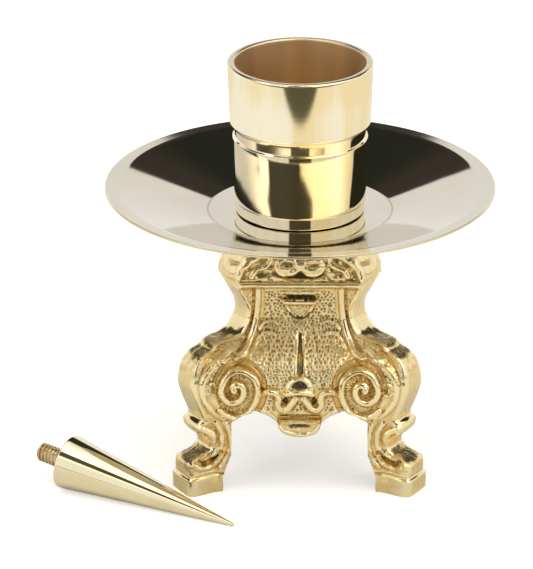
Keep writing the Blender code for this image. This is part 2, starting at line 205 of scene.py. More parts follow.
SIDE = (
    (0.0, 22.8), (14.0, 22.0), (24.0, 23.3), (32.0, 25.1), (38.6, 25.8), (44.0, 24.4), (48.0, 21.6),
    (52.0, 17.8), (57.5, 15.3), (62.0, 15.6), (67.5, 16.9), (72.0, 18.2), (76.0, 17.8), (CASTING_TOP, 16.2),
)
HALF_WIDTH = (
    (0.0, 6.0), (5.6, 6.0), (6.4, 5.5), (13.0, 4.9), (26.0, 4.9), (38.0, 5.3), (50.0, 4.6),
    (CASTING_TOP, 4.6),
)
STILE = (
    (0.0, 25.0), (4.5, 25.0), (11.0, 23.0), (14.0, 22.3), (26.0, 22.3), (38.0, 23.0), (46.0, 20.5),
    (52.0, 15.5), (57.5, 13.0), (66.0, 14.5), (73.0, 16.0), (80.0, 14.8), (CASTING_TOP, 14.0),
)
FLANK = ((0.0, 11.0), (14.0, 7.0), (24.0, 5.5), (32.0, 2.0), (CASTING_TOP, 1.5))
WALL = ((0.0, 4.2), (12.0, 4.0), (16.0, 2.4), (CASTING_TOP, 2.4))

def smooth_curve(keys, per_span=12):
    """Catmull-Rom through the keys: on each span the cubic whose end slopes are those of the neighbours'
    chords."""
    keys = np.array(keys, float)
    before = np.concatenate([keys[:1], keys[:-1]])
    after = np.concatenate([keys[1:], keys[-1:]])
    slope = (after - before) / np.where(np.arange(len(keys)) % (len(keys) - 1) == 0, 1, 2)[:, None]
    t = np.linspace(0, 1, per_span, endpoint=False)[None, :, None]
    p, q, m, n = (a[:, None] for a in (keys[:-1], keys[1:], slope[:-1], slope[1:]))
    curve = (2 * t**3 - 3 * t**2 + 1) * p + (3 * t**2 - 2 * t**3) * q
    curve = curve + (t**3 - 2 * t**2 + t) * m + (t**3 - t**2) * n
    return np.concatenate([curve.reshape(-1, keys.shape[1]), keys[-1:]])

LEG_CURVE = np.concatenate([smooth_curve(stroke) for stroke in STROKES])
SIDE_CURVE = smooth_curve(SIDE)
STILE_CURVE = smooth_curve(STILE)

def read_curve(curve, height):
    """The value of a curve of (height, value) points at each height."""
    curve = np.array(curve, float)
    return np.interp(height, curve[:, 0], curve[:, 1])

print("the leg reaches", round(float(LEG_CURVE[:, 1].max()), 1), "mm from the axis")

# %% [markdown]
# ## Drawing in relief
# A caster models the ornament in wax on the flat of each side. Here it is a height in millimetres over
# the side, read at a place across and a height up. Ribs are drawn along smooth strokes, bosses are domes,
# and the stippled ground is a field of small punched dots, each at its own jittered place on a lattice.

# %% Relief tools
def blend_step(low, high, value):
    """0 below low, 1 above high, and 3t^2 - 2t^3 between them."""
    t = np.clip((value - low) / (high - low), 0, 1)
    return t * t * (3 - 2 * t)

def stroke_distance(x, z, keys, per_span):
    """Distance from each place to a smooth stroke: the least distance to its short straight pieces."""
    curve = smooth_curve(keys, per_span)
    best = np.full(x.shape, 99.0)
    for (x0, z0), (x1, z1) in zip(curve, curve[1:]):
        dx, dz = x1 - x0, z1 - z0
        t = np.clip(((x - x0) * dx + (z - z0) * dz) / (dx * dx + dz * dz + 1e-9), 0, 1)
        best = np.minimum(best, np.hypot(x - x0 - t * dx, z - z0 - t * dz))
    return best

def rib(distance, half_width):
    """A rounded rib: the square root of a parabola, so that it stands up from the ground with a firm edge."""
    return np.sqrt(np.clip(1 - (distance / half_width) ** 2, 0, 1))

def scatter(i, j, seed):
    """A number from 0 to 1 for each lattice cell, from the fraction of a large sine."""
    value = np.sin(i * 127.1 + j * 311.7 + seed * 74.7) * 43758.5453
    return value - np.floor(value)

def dots(x, z, pitch, size):
    """1 in the middle of each punched dot, falling to 0 at its edge. Dots sit on a lattice with alternate
    rows shifted, and each is moved a little by its cell's own scatter."""
    row_pitch = pitch * 0.87
    row = np.floor(z / row_pitch)
    best = np.full(x.shape, 99.0)
    for dj in (-1, 0, 1):
        j = row + dj
        shift = 0.5 * (j % 2)
        column = np.floor(x / pitch - shift)
        for di in (-1, 0, 1):
            i = column + di
            cx = (i + shift + 0.5 + 0.60 * (scatter(i, j, 1.0) - 0.5)) * pitch
            cz = (j + 0.5 + 0.60 * (scatter(i, j, 2.0) - 0.5)) * row_pitch
            best = np.minimum(best, np.hypot(x - cx, z - cz) / (0.8 + 0.45 * scatter(i, j, 3.0)))
    return np.clip(1 - (best / size) ** 2, 0, 1)

def unevenness(x, z, scale):
    """Soft hand-made irregularity: a sum of crossed sines that share no common wavelength."""
    u, v = x / scale, z / scale
    return (
        np.sin(1.7 * u + 0.6 * v + 1.3) + np.sin(-0.9 * u + 1.9 * v + 4.1)
        + 0.6 * np.sin(3.1 * u - 2.3 * v + 2.2) + 0.6 * np.sin(2.6 * u + 3.7 * v + 0.7)
        + 0.35 * np.sin(6.1 * u + 1.1 * v) + 0.35 * np.sin(-1.3 * u + 6.7 * v + 5.0)
    ) / 3.9

COARSE_DOTS = (1.30, 0.52)  # pitch and size
FINE_DOTS = (0.9, 0.34)
trial_x, trial_z = np.meshgrid(np.linspace(0, 30, 61), np.linspace(0, CASTING_TOP, 121))
dotted = (dots(trial_x, trial_z, *COARSE_DOTS) > 0).mean()
print("coarse dots cover", round(float(dotted), 2), "of the ground")

# %% [markdown]
# ## The ornament of one side
# From the top: a cornice with a double-lobed drop and leaf scrolls at its corners, a shield hanging under the
# ledge, two bands that sweep down into volutes, a keel groove between stippled fields, and a small crest with
# two scrolled arms above the half-round drop of the apron.

# %% The apron's outline
SPRING_HEIGHT = 24.6
APRON_HALF_WIDTH = 22.3
DROP_HALF_WIDTH = 7.0
DROP_DEPTH = 4.6
ARCH_RISE = 4.5

def apron_height(x):
    """The lower edge of a side: a half ellipse hanging in the middle, and beside it an arch that is a sine
    from the drop's edge to the leg."""
    side = np.clip((np.abs(x) - DROP_HALF_WIDTH) / (APRON_HALF_WIDTH - DROP_HALF_WIDTH), 0, 1)
    arch = SPRING_HEIGHT + ARCH_RISE * np.sin(math.pi * side) ** 0.8
    inside = np.clip(1 - (x / DROP_HALF_WIDTH) ** 2, 0, 1)
    return np.where(np.abs(x) < DROP_HALF_WIDTH, SPRING_HEIGHT - DROP_DEPTH * np.sqrt(inside), arch)

print("apron drop reaches down to", float(apron_height(np.array(0.0))), "mm")

# %% [markdown]
# ## Strokes to draw along
# A chaser sees the ornament as a few sweeping lines. Each stroke below is a short list of (across, up)
# places in millimetres on one half of a side, and a smooth curve runs through them. The other half is its
# mirror image.

# %% The strokes of the ornament
VOLUTE = (
    (25.8, 29.6), (24.0, 27.8), (21.1, 26.9), (17.4, 28.2), (14.6, 32.0), (13.4, 37.4), (14.8, 41.6),
    (19.3, 43.9), (23.4, 42.2), (25.4, 37.8), (24.8, 34.4), (22.3, 32.5), (19.4, 33.5), (18.1, 36.3),
    (18.7, 38.8), (20.4, 39.5), (21.7, 38.5), (21.4, 37.3),
)
VOLUTE_EYE = (21.0, 37.7)
MOAT = (
    (14.6, 28.8), (12.3, 32.6), (11.5, 37.6), (12.9, 43.0), (18.2, 46.1), (23.8, 44.9), (27.0, 41.0),
    (27.6, 37.0),
)
BAND = ((13.4, 69.0), (13.5, 64.0), (13.9, 59.5), (14.9, 55.2), (16.6, 51.2), (18.4, 48.6), (20.6, 47.0))
CHANNEL_EDGE = ((20.0, 47.6), (21.8, 49.4), (24.4, 48.0), (27.4, 45.9), (30.0, 43.6))
OUTER_SCROLL = ((28.0, 44.6), (30.8, 41.4), (31.6, 37.0), (30.6, 32.4), (28.0, 28.8), (24.6, 26.4))
HOOK = (
    (1.4, 34.4), (2.6, 32.4), (4.2, 30.3), (6.0, 30.1), (7.1, 31.9), (6.8, 34.2), (7.7, 36.3), (9.8, 36.9),
    (12.2, 35.8),
)
UPPER_LEAF = ((13.0, 55.0), (11.4, 56.9), (9.2, 57.4), (7.0, 56.8))
LOWER_LEAF = ((14.6, 50.4), (13.0, 52.8), (11.0, 54.0), (8.2, 53.6))
CORNER_LEAF = ((12.6, 81.6), (16.2, 79.6), (19.4, 76.4), (21.0, 72.8))
INNER_CURL = ((11.0, 82.0), (9.6, 79.6), (11.4, 77.4), (14.0, 76.6), (15.6, 74.2))
SHANK_BEAD = ((24.4, 25.2), (22.9, 21.0), (22.6, 16.0), (23.6, 12.0), (25.8, 8.6))
SHANK_LEAF = ((27.6, 25.0), (25.6, 21.0), (25.4, 16.6), (27.0, 12.6))
ANKLE_CURL = (
    (35.0, 23.6), (31.4, 23.0), (28.4, 20.8), (28.4, 17.6), (30.8, 16.4), (32.2, 18.2), (31.0, 19.6),
)
TOE_RIM = ((36.4, 12.6), (33.4, 10.4), (30.4, 8.8), (27.8, 9.8), (26.0, 12.2))

def oval(x, z, centre, across, up):
    """1 on the edge of an oval about the centre, 0 in its middle: sqrt((dx / across)^2 + (dz / up)^2)."""
    return np.hypot((x - centre[0]) / across, (z - centre[1]) / up)

volute_line = smooth_curve(VOLUTE)
print("a volute's rib is", round(float(np.hypot(*np.diff(volute_line, axis=0).T).sum()), 1), "mm long")

# %% [markdown]
# ## Bands, channels and volutes
# A round band comes down each edge of a side, and a channel runs beside it. Both end in a volute, which
# is one long spiral rib over a hatched plate. Ribs are added to the height and grooves are taken from it,
# so that each can be changed by itself. Masks say what covers a place.

# %% The bands, the fields and the volutes
def side_frame(x, z, edge_x):
    """Bands, channels, volutes and the rim beside the facet: a height, a mask of fine hatching, a mask of
    plain places and a mask of deep grooves."""
    band = stroke_distance(x, z, BAND, 4)
    h = 0.85 * rib(band, 1.0) - 0.40 * rib(band - 1.5, 0.6)
    beside = x - np.interp(z, [44, 47.6, 51.2, 55.2, 59.5, 69], [22.6, 19.6, 16.6, 14.9, 13.9, 13.4])
    channel = blend_step(0.8, 1.3, beside) * blend_step(47.0, 49.0, z) * blend_step(70.0, 68.6, z)
    channel *= blend_step(0.5, 1.3, edge_x - x)
    h -= 0.45 * channel
    h += 0.6 * rib(stroke_distance(x, z, CHANNEL_EDGE, 4), 0.8)
    rim = np.abs(edge_x - 0.75 - x)
    h += 0.5 * rib(rim, 0.8) * blend_step(25.5, 27.5, z) * blend_step(71.0, 69.5, z)
    moat = rib(stroke_distance(x, z, MOAT, 4), 1.15)
    spiral = stroke_distance(x, z, VOLUTE, 4)
    h += 1.25 * rib(spiral, 1.15)
    h -= 0.95 * moat
    plate = oval(x, z, (19.9, 35.9), 7.2, 9.4)
    angle = np.arctan2(z - VOLUTE_EYE[1], x - VOLUTE_EYE[0])
    between = blend_step(1.05, 0.95, plate) * blend_step(1.0, 1.5, spiral)
    h += between * (0.13 * np.sin(angle * 44.0 + plate * 9.0) - 0.35)
    h += 0.9 * rib(oval(x, z, VOLUTE_EYE, 1.5, 1.6), 1.0)
    h += 0.75 * rib(stroke_distance(x, z, OUTER_SCROLL, 4), 1.0)
    button = np.hypot(x - 28.7, z - 37.2)
    h += 0.4 * rib(button - 1.9, 0.5)
    h += 0.9 * rib(np.hypot(x - 25.0, z - 46.4), 1.5)
    fine = np.clip(channel + between + blend_step(1.7, 1.3, button), 0, 1)
    plain = np.clip(blend_step(1.9, 1.4, band) + blend_step(1.30, 1.18, plate), 0, 1)
    return h, fine, plain, moat

trial = side_frame(trial_x, trial_z, 36.0)[0]
print("bands and volutes stand", round(float(trial.max()), 2), "mm proud")

# %% [markdown]
# ## Shield, keel and crest
# These stand on the middle line: a shield that hangs under the ledge, a narrow keel groove with soft
# lips, and a domed crest whose two hooked arms curl over the half-round drop. They are left proud of the
# stippled ground.

# %% The shield, the keel and the crest
def side_middle(x, x_signed, z):
    """The ornaments on the middle line, with the same masks, and a mask of the places painted dark as shade.
    """
    shield_half = 5.7 * np.clip((z - 56.8) / 7.6, 0, 1) ** 0.62
    shield = blend_step(-0.1, 0.5, shield_half - x) * (z < 65.6)
    bowl_half = 3.9 * np.clip((z - 58.5) / 4.6, 0, 1) ** 0.5
    bowl = blend_step(0.0, 0.6, bowl_half - x) * blend_step(64.0, 63.5, z)
    crescent = rib(oval(x, z, (0, 62.4), 3.6, 3.9) - 1.0, 0.13) * (z < 61.0)
    h = 1.0 * shield - 0.65 * bowl - 0.45 * crescent
    h += 0.85 * rib(z - 64.7, 1.0) * blend_step(6.7, 6.0, x)
    slot = rib(z - 66.4, 0.6) * blend_step(4.8, 3.6, x)
    h -= 0.85 * slot
    h += 0.6 * rib(z - 68.0, 0.8) * blend_step(7.4, 6.0, x)
    keel_half = 0.5 + 0.5 * blend_step(54.0, 44.0, z)
    keel_ends = blend_step(42.0, 42.8, z) * blend_step(54.6, 52.6, z)
    keel = rib(np.abs(x_signed - 0.2), keel_half) * keel_ends
    h -= 0.95 * keel
    h += 0.30 * rib(x - keel_half - 0.75, 0.75) * blend_step(41.5, 43.0, z) * blend_step(56.0, 53.0, z)
    dome = oval(x, z, (0.0, 36.4), 4.9, 5.6)
    above = blend_step(35.2, 36.4, z + 0.06 * x * x)
    h += 1.5 * rib(dome, 1.0) * above
    cap = rib(oval(x, z, (-0.1, 38.3), 3.2, 3.0), 1.0) * blend_step(38.0, 38.6, z)
    h -= 0.8 * cap
    brim = stroke_distance(x, z, ((0.0, 37.2), (2.4, 36.9), (4.6, 35.9)), 4)
    h += 0.75 * rib(brim, 0.85)
    hook = stroke_distance(x, z, HOOK, 4)
    h += 1.35 * rib(hook, 1.2)
    pocket = rib(oval(x, z, (4.6, 33.4), 0.75, 1.5), 1.0)
    h -= 0.9 * pocket
    h += 0.7 * rib(oval(x, z, (0.0, 33.9), 0.7, 1.9), 1.0)
    h -= 0.6 * rib(oval(x, z, (12.6, 37.4), 1.1, 1.1), 1.0)
    drop = blend_step(7.1, 6.2, x) * blend_step(26.4, 25.6, z)
    h += 1.3 * drop
    h -= 0.6 * rib(z - 27.3, 0.9) * blend_step(7.4, 6.0, x)
    h += 0.55 * rib(z - 25.7, 0.7) * blend_step(7.0, 6.2, x)
    cut = rib(oval(x, z + 0.02 * x * x, (0.0, 24.2), 4.2, 0.75), 1.0)
    h -= 0.9 * cut
    triangle = blend_step(0.2, 1.0, 4.6 - x - 0.75 * np.abs(z - 28.0)) * blend_step(1.1, 1.6, hook)
    ornament = np.clip(shield + blend_step(1.30, 1.12, dome) * above + blend_step(1.7, 1.3, hook), 0, 1)
    ornament = np.clip(ornament + blend_step(1.2, 0.8, x - keel_half) * keel_ends, 0, 1)
    # Painted shade: the crescent, slot, keel, cap, pocket and cut are painted dark.
    dark = np.clip(crescent + slot + keel + 1.2 * cap + pocket + cut, 0, 1)
    return h, np.clip(bowl + triangle, 0, 1), ornament, dark

trial = side_middle(trial_x, trial_x, trial_z)[0]
print("shield and crest stand", round(float(trial.max()), 2), "mm proud")

# %% [markdown]
# ## Cornice and foot
# The cornice crowns the side with a double-lobed drop and a leaf at each corner, and its surface is left
# a little lumpy from the mould. A bead and a long leaf run down the leg, a curl wraps the ankle and a rim
# rounds the toe.

# %% The cornice and the foot
def side_ends(x, x_signed, z):
    """The cornice above and the leg's foot below: a height and a mask of the places painted dark as shade."""
    h = 1.25 * rib(z - 71.1, 1.2)
    lobe = np.minimum(oval(x, z, (4.1, 77.6), 4.3, 3.7), oval(x, z, (0.0, 78.6), 3.0, 3.0))
    recess = rib(oval(x, z, (0.0, 75.4), 9.4, 2.6), 1.0) * blend_step(0.95, 1.10, lobe)
    cornice = blend_step(72.4, 73.2, z)
    h -= 1.0 * recess * cornice
    h += cornice * (1.3 * rib(lobe, 1.0) - 0.5 * rib(oval(x, z, (4.2, 78.4), 2.4, 1.3), 1.0))
    h += 0.45 * cornice * unevenness(x_signed + 9.0, z, 2.6)
    h += 1.3 * rib(stroke_distance(x, z, CORNER_LEAF, 4), 1.7)
    h += 0.9 * rib(stroke_distance(x, z, INNER_CURL, 4), 1.0)
    foot = blend_step(26.0, 24.5, z)
    h += foot * 0.85 * rib(stroke_distance(x, z, SHANK_BEAD, 4), 0.9)
    h += foot * 0.6 * rib(stroke_distance(x, z, SHANK_LEAF, 4), 0.9)
    h += 1.2 * rib(stroke_distance(x, z, ANKLE_CURL, 4), 1.25)
    crease = stroke_distance(x, z - 1.7, TOE_RIM, 4)
    h += 1.0 * rib(stroke_distance(x, z, TOE_RIM, 4), 1.1)
    h -= 0.8 * rib(crease, 1.0)
    h -= 0.9 * rib(oval(x, z, (32.2, 13.6), 3.0, 2.0), 1.0)
    h -= 0.5 * rib(z - 6.2, 0.55)
    h += 0.25 * foot * unevenness(x_signed, z, 1.6) * blend_step(7.0, 9.0, z)
    # Painted shade: the recess under the lobes and the toe's crease are painted dark.
    return h, np.clip(1.3 * recess * cornice + 0.8 * rib(crease, 0.7), 0, 1)

trial = side_ends(trial_x, trial_x, trial_z)[0]
print("cornice and foot stand", round(float(trial.max()), 2), "mm proud")

# %% [markdown]
# ## All the relief together
# The last layer is what the punch leaves: coarse dots on the open ground and fine ones in the hollows.
# Besides the height, each place gets marks that tell the finish where the metal is chased, pitted, dark
# or amber.

# %% The relief of one side
def side_relief(x_signed, z, edge_x):
    """Height of the ornament over the flat of a side, and four marks of each place: how much it is
    chased, how deep in a punched dot, how much painted shade it gets, and how much it is tinted
    amber."""
    x = np.abs(x_signed)
    h = 0.11 * unevenness(x_signed, z, 3.3) + 0.05 * unevenness(x_signed, z, 0.9)
    frame_h, frame_fine, frame_plain, moat = side_frame(x, z, edge_x)
    middle_h, middle_fine, ornament, middle_painted_shade = side_middle(x, x_signed, z)
    ends_h, ends_painted_shade = side_ends(x, x_signed, z)
    h += frame_h + middle_h + ends_h
    leaf = rib(oval(x, z, (13.0, 48.6), 3.0, 4.8), 1.0)
    upper_leaf = 0.75 * rib(stroke_distance(x, z, UPPER_LEAF, 4), 0.7)
    h += upper_leaf + 0.7 * rib(stroke_distance(x, z, LOWER_LEAF, 4), 0.7)
    h += leaf * (0.2 + 0.22 * unevenness(x_signed, z, 1.3))
    over_edge = z - apron_height(x)
    h += 0.5 * rib(over_edge - 0.8, 0.8) * (x < APRON_HALF_WIDTH + 1)
    band_x = np.interp(z, [42.0, 47.6, 52.6, 56.0, 59.5, 68.6], [11.5, 16.5, 14.6, 13.2, 12.4, 12.0])
    field = blend_step(0.2, 0.9, band_x - x) * blend_step(28.5, 30.0, z) * blend_step(69.2, 68.0, z)
    ground = np.clip(field * (1 - frame_plain) * (1 - ornament) * (1 - 0.6 * leaf), 0, 1)
    coarse_dots = dots(x_signed, z, *COARSE_DOTS) * ground
    fine = np.clip(frame_fine + middle_fine, 0, 1)
    fine_dots = dots(x_signed, z, *FINE_DOTS) * fine
    h -= 0.36 * coarse_dots + 0.22 * fine_dots
    fade = blend_step(0.1, 1.0, edge_x - x)
    pits = np.clip(coarse_dots + 0.7 * fine_dots, 0, 1)
    # Painted shade in the grooves and recesses, which the finish turns olive.
    dark = np.clip(middle_painted_shade + ends_painted_shade, 0, 1)
    # Amber tint in the volute's moat and along the cornice.
    amber_tinted = np.clip(moat + 0.55 * blend_step(72.4, 74.0, z), 0, 1)
    marks = np.stack([np.clip(ground + fine, 0, 1), pits, dark, amber_tinted], -1) * fade[..., None]
    return h * fade, marks

chased_share = side_relief(trial_x, trial_z, 36.0)[1][..., 0].mean()
print("the punch has been over", round(float(chased_share), 2), "of a side")

# %% [markdown]
# ## One side casting
# A point of the skin has a place q across its side and a height z. q = 0 is the middle, 1 the stile
# beside the arch, 2 the edge of the leg's facet and 3 the seam in the middle of the facet. The skin above
# the apron is one grid whose lowest row follows the apron's edge; each leg carries on below it as a grid
# of its own. The inner face of the wall is made in the same way with fewer points, and narrow strips
# close the rims between them.

# %% The surface of a side
LEG_TURN = math.radians(30)
SEAM_GAP = 0.02
FACET_CROWN = (
    (0, 12, 20.5, 22.5, 25.2, 27, 71.3, 73.0, 78.0, 86.2),
    (0.2, 0.4, 0.4, 0.9, 0.9, 0.3, 0.3, 1.3, 1.3, 0.4),
)
MARKS = ("chased", "pits", "dark", "amber")

def facet_waves(z):
    """How far the filed facet waves: a little everywhere, and more at two bell curves, shoulder roll and
    toe."""
    shoulder = np.exp(-(((z - 46.0) / 4.5) ** 2))
    toe = np.exp(-(((z - 11.0) / 2.5) ** 2))
    return 0.11 + 0.19 * shoulder + 0.17 * toe

def side_surface(q_signed, z, wall):
    """x, distance from the axis and marks for places (q, z); wall is 0 on the skin and 1 on the lining."""
    q, sign = np.abs(q_signed), np.sign(q_signed)
    inset = wall * read_curve(WALL, z)
    radius = read_curve(LEG_CURVE, z)
    half = read_curve(HALF_WIDTH, z)
    stile = read_curve(STILE_CURVE, z)
    c, s = math.cos(LEG_TURN), math.sin(LEG_TURN)
    skin_edge_x = c * radius - s * half
    edge_half = half - 0.58 * inset
    edge_x, edge_n = c * (radius - inset) - s * edge_half, s * (radius - inset) + c * edge_half
    seam_x, seam_n = c * (radius - inset) - s * SEAM_GAP, s * (radius - inset) + c * SEAM_GAP
    flat = read_curve(SIDE_CURVE, z) - inset
    x = np.where(q <= 1, q * stile, stile + (edge_x - stile) * (q - 1))
    root = np.maximum(stile, skin_edge_x - read_curve(FLANK, z))
    rise = blend_step(0, 1, (x - root) / np.maximum(edge_x - root, 0.3))
    n = flat + (edge_n - flat) * rise
    on_facet = np.clip(q - 2, 0, 1)
    x = np.where(q > 2, edge_x + (seam_x - edge_x) * on_facet, x)
    n = np.where(q > 2, edge_n + (seam_n - edge_n) * on_facet, n)
    marks = np.zeros((*x.shape, len(MARKS)))
    if wall == 0:
        relief, marks = side_relief(x * sign, z, skin_edge_x)
        on_side = q <= 2
        crown = np.interp(z, *FACET_CROWN) * np.sin(math.pi / 2 * on_facet)
        crown = crown + (q > 2) * facet_waves(z) * unevenness(on_facet * 4.0, z, 1.9)
        x, n = x + c * crown, n + relief * on_side + s * crown
        marks = marks * on_side[..., None]
    return x * sign, n, marks

def spread(columns_panel, columns_stile, columns_facet, leg=False):
    """The q values of a row: evenly spaced from the middle to the stile, on to the edge, and to the seam."""
    panel = np.linspace(0, 1, columns_panel + 1)
    stile = 1 + np.linspace(0, 1, columns_stile + 1)
    facet = 2 + np.linspace(0, 1, columns_facet + 1)
    outer = np.concatenate([stile, facet[1:]])
    if leg:
        return outer
    half = np.concatenate([panel[:-1], outer])
    return np.concatenate([-half[:0:-1], half])

def sand(grid, passes_across, passes_up):
    """Averages each point with its neighbours, across and up, as sanding softens the edges of a casting."""
    for _ in range(passes_across):
        grid[:, 1:-1] = (grid[:, :-2] + 2 * grid[:, 1:-1] + grid[:, 2:]) / 4
    for _ in range(passes_up):
        grid[1:-1] = (grid[:-2] + 2 * grid[1:-1] + grid[2:]) / 4
    return grid

def side_grid(q, z, wall):
    """Points and marks of a grid; q is a row of values and z a row by column array of heights."""
    q = np.broadcast_to(q, z.shape)
    x, n, marks = side_surface(q, z, wall)
    return np.stack([x, -n, z], -1), marks

def stitch(edge_a, edge_b):
    """Triangles between two edges with different numbers of points: each short piece of one edge looks at the
    point of the other edge that is as far along."""
    count_a, count_b = len(edge_a), len(edge_b)
    partner = np.round(np.arange(count_a) * (count_b - 1) / (count_a - 1)).astype(int)
    a = np.arange(count_a - 1)
    fan = np.stack([a, a + 1, count_a + partner[1:]], -1)
    jump = partner[1:] != partner[:-1]
    fill = np.stack([a[jump], count_a + partner[1:][jump], count_a + partner[:-1][jump]], -1)
    return np.concatenate([edge_a, edge_b]), np.concatenate([fan, fill])

facet_wave = float(facet_waves(np.linspace(0, CASTING_TOP, 99)).max())
print("the leg's facet waves by up to", round(facet_wave, 2), "mm")

# %% [markdown]
# ## Skin, lining and rims
# The casting is a shell. Its skin and its lining are grids of the same surface, and strips join their edges.
# The skin also learns how hollow each place is, by a comparison with the average of its surroundings, because
# polish and old lacquer gather in hollows, and painted shade darkens them too.

# %% Build the skin, the inner wall and the rims
SKIN = {"panel": 100, "stile": 30, "facet": 12, "rows": 285, "leg_rows": 106}
LINING = {"panel": 14, "stile": 4, "facet": 2, "rows": 24, "leg_rows": 10}
# The lining and the rims get fixed hollow values, which darken them partly as old lacquer and partly as
# painted shade.
LINING_HOLLOW = 0.7
RIM_HOLLOW = 0.2

def box_blur(field, reach):
    """The average over a square of 2 reach + 1 cells, from running sums along both directions."""
    for axis in (0, 1):
        moved = np.moveaxis(field, axis, 0)
        padded = np.concatenate([np.repeat(moved[:1], reach + 1, 0), moved, np.repeat(moved[-1:], reach, 0)])
        total = np.cumsum(padded, 0)
        field = np.moveaxis((total[2 * reach + 1:] - total[:-2 * reach - 1]) / (2 * reach + 1), 0, axis)
    return field

def hollowness(grid):
    """How far a point lies under the average of its surroundings, in half millimetres."""
    out = -grid[..., 1]
    return np.clip((box_blur(out, 5) - out) / 0.5, -1, 1)

def side_patches(counts, wall):
    """The grid above the apron, and the two leg grids under it, each with its marks."""
    q = spread(counts["panel"], counts["stile"], counts["facet"])
    lowest = np.where(np.abs(q) <= 1, apron_height(APRON_HALF_WIDTH * q), SPRING_HEIGHT)
    v = np.linspace(0, 1, counts["rows"] + 1)[:, None]
    main = side_grid(q, lowest + (CASTING_TOP - lowest) * v, wall)
    leg_q = spread(0, counts["stile"], counts["facet"], leg=True)
    leg_heights = np.linspace(0, SPRING_HEIGHT, counts["leg_rows"] + 1)[:, None]
    leg_heights = np.broadcast_to(leg_heights, (len(leg_heights), leg_q.size))
    right = side_grid(leg_q, leg_heights, wall)
    left = side_grid(-leg_q[::-1], leg_heights, wall)
    return [(q, *main), (leg_q, *right), (-leg_q[::-1], *left)]

def soften(q, grid):
    """Sands the facet up and down, and the facet's edge across, and leaves the ornament sharp."""
    up = blend_step(1.85, 2.05, np.abs(q))[None, :, None]
    grid = grid + (sand(grid.copy(), 0, 3) - grid) * up
    edge = (blend_step(1.75, 1.95, np.abs(q)) * blend_step(2.5, 2.2, np.abs(q)))[None, :, None]
    return grid + (sand(grid.copy(), 7, 0) - grid) * edge

def side_arrays():
    """Every point, triangle and mark of one side casting, in millimetres from the candlestick's axis."""
    points, triangles, marked, hollow = [], [], [], []
    total = 0
    plain = np.zeros(len(MARKS))

    def add(new_points, new_triangles, new_marks, new_hollow):
        nonlocal total
        points.append(new_points)
        triangles.append(new_triangles + total)
        marked.append(np.broadcast_to(new_marks, (len(new_points), len(MARKS))))
        hollow.append(np.broadcast_to(new_hollow, len(new_points)))
        total += len(new_points)

    skin = [(q, soften(q, grid), marks) for q, grid, marks in side_patches(SKIN, 0.0)]
    lining = side_patches(LINING, 1.0)
    for q, grid, marks in skin:
        hollows = hollowness(grid) * blend_step(2.5, 2.1, np.abs(q))
        faces = grid_triangles(*grid.shape[:2])
        add(grid.reshape(-1, 3), faces, marks.reshape(-1, len(MARKS)), hollows.ravel())
    for _, grid, _ in lining:
        add(grid.reshape(-1, 3), grid_triangles(*grid.shape[:2]), plain, LINING_HOLLOW)
    (q, main, _), (_, right, _), (_, left, _) = skin
    (inner_q, inner, _), (_, inner_right, _), (_, inner_left, _) = lining
    arch, inner_arch = np.abs(q) <= 1, np.abs(inner_q) <= 1
    rims = [
        (main[-1], inner[-1]),
        (main[0][arch], inner[0][inner_arch]),
        (main[:, 0], inner[:, 0]), (main[:, -1], inner[:, -1]),
        (right[:, -1], inner_right[:, -1]), (right[:, 0], inner_right[:, 0]), (right[0], inner_right[0]),
        (left[:, 0], inner_left[:, 0]), (left[:, -1], inner_left[:, -1]), (left[0], inner_left[0]),
    ]
    for edge, inner_edge in rims:
        add(*stitch(edge, inner_edge), plain, RIM_HOLLOW)
    return [np.concatenate(parts) for parts in (points, triangles, marked, hollow)]

side_points, side_triangles, side_marks, side_hollow = side_arrays()
print("one side has", len(side_points), "points before its seams are welded")

# %% [markdown]
# ## Three castings round the axis
# The sides are alike, so one set of points is turned by 0, 120 and 240 degrees. The strips at the rims
# don't all run the same way round, so Blender, which follows the closed surface, turns every face
# outwards.

# %% Set the sides round the axis
def turned_about_axis(points, degrees):
    """Points turned about the upright axis: x' = cx - sy and y' = sx + cy."""
    c, s = math.cos(math.radians(degrees)), math.sin(math.radians(degrees))
    x, y, z = points.T
    return np.stack([c * x - s * y, s * x + c * y, z], -1) + AXIS

def face_outwards(obj):
    """Makes all faces of a closed mesh look outwards."""
    work = bmesh.new()
    work.from_mesh(obj.data)
    bmesh.ops.recalc_face_normals(work, faces=work.faces)
    work.to_mesh(obj.data)
    work.free()

sides = {}
for side, degrees in (("front", 0), ("right", 120), ("left", 240)):
    marks = {**dict(zip(MARKS, side_marks.T)), "hollow": side_hollow}
    casting_points = turned_about_axis(side_points, degrees)
    casting = make_mesh("chased_side_" + side, casting_points, side_triangles, 50.0, marks)
    face_outwards(casting)
    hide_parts("side_casting_" + side)
    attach(casting, "base")
    sides[side] = casting

# %% [markdown]
# ## The candle cup
# One turned piece. Its collar tapers a little towards a groove, a sharp shoulder stands under the groove, and
# the plain lower body narrows to a low foot ring on the pan. The bore is wider at its mouth so that a candle
# slips in easily. The outline runs from the bore's floor over the rim and down to the hole for the stud.

# %% Turn the cup
COLLAR_HEIGHT = 20.4
COLLAR_FOOT = 22.9
SHOULDER_RADIUS = 21.95
SHOULDER_DROP = 25.5
FOOT_RING = 4.0
RECESS_RADIUS = 17.5
BORE_RADIUS = 19.5
BORE_DEPTH = 46.0
STUD_ROOM = 0.3
CUP_TOP, CUP_BOTTOM = cup_high[2], cup_low[2]
STUD_RADIUS = 3.175
THREAD_PITCH = 1.27
RECESS_TOP = CUP_BOTTOM + 0.9
BORE_FLOOR = CUP_TOP - BORE_DEPTH
stud_low, stud_high = box_mm("cup_stud")

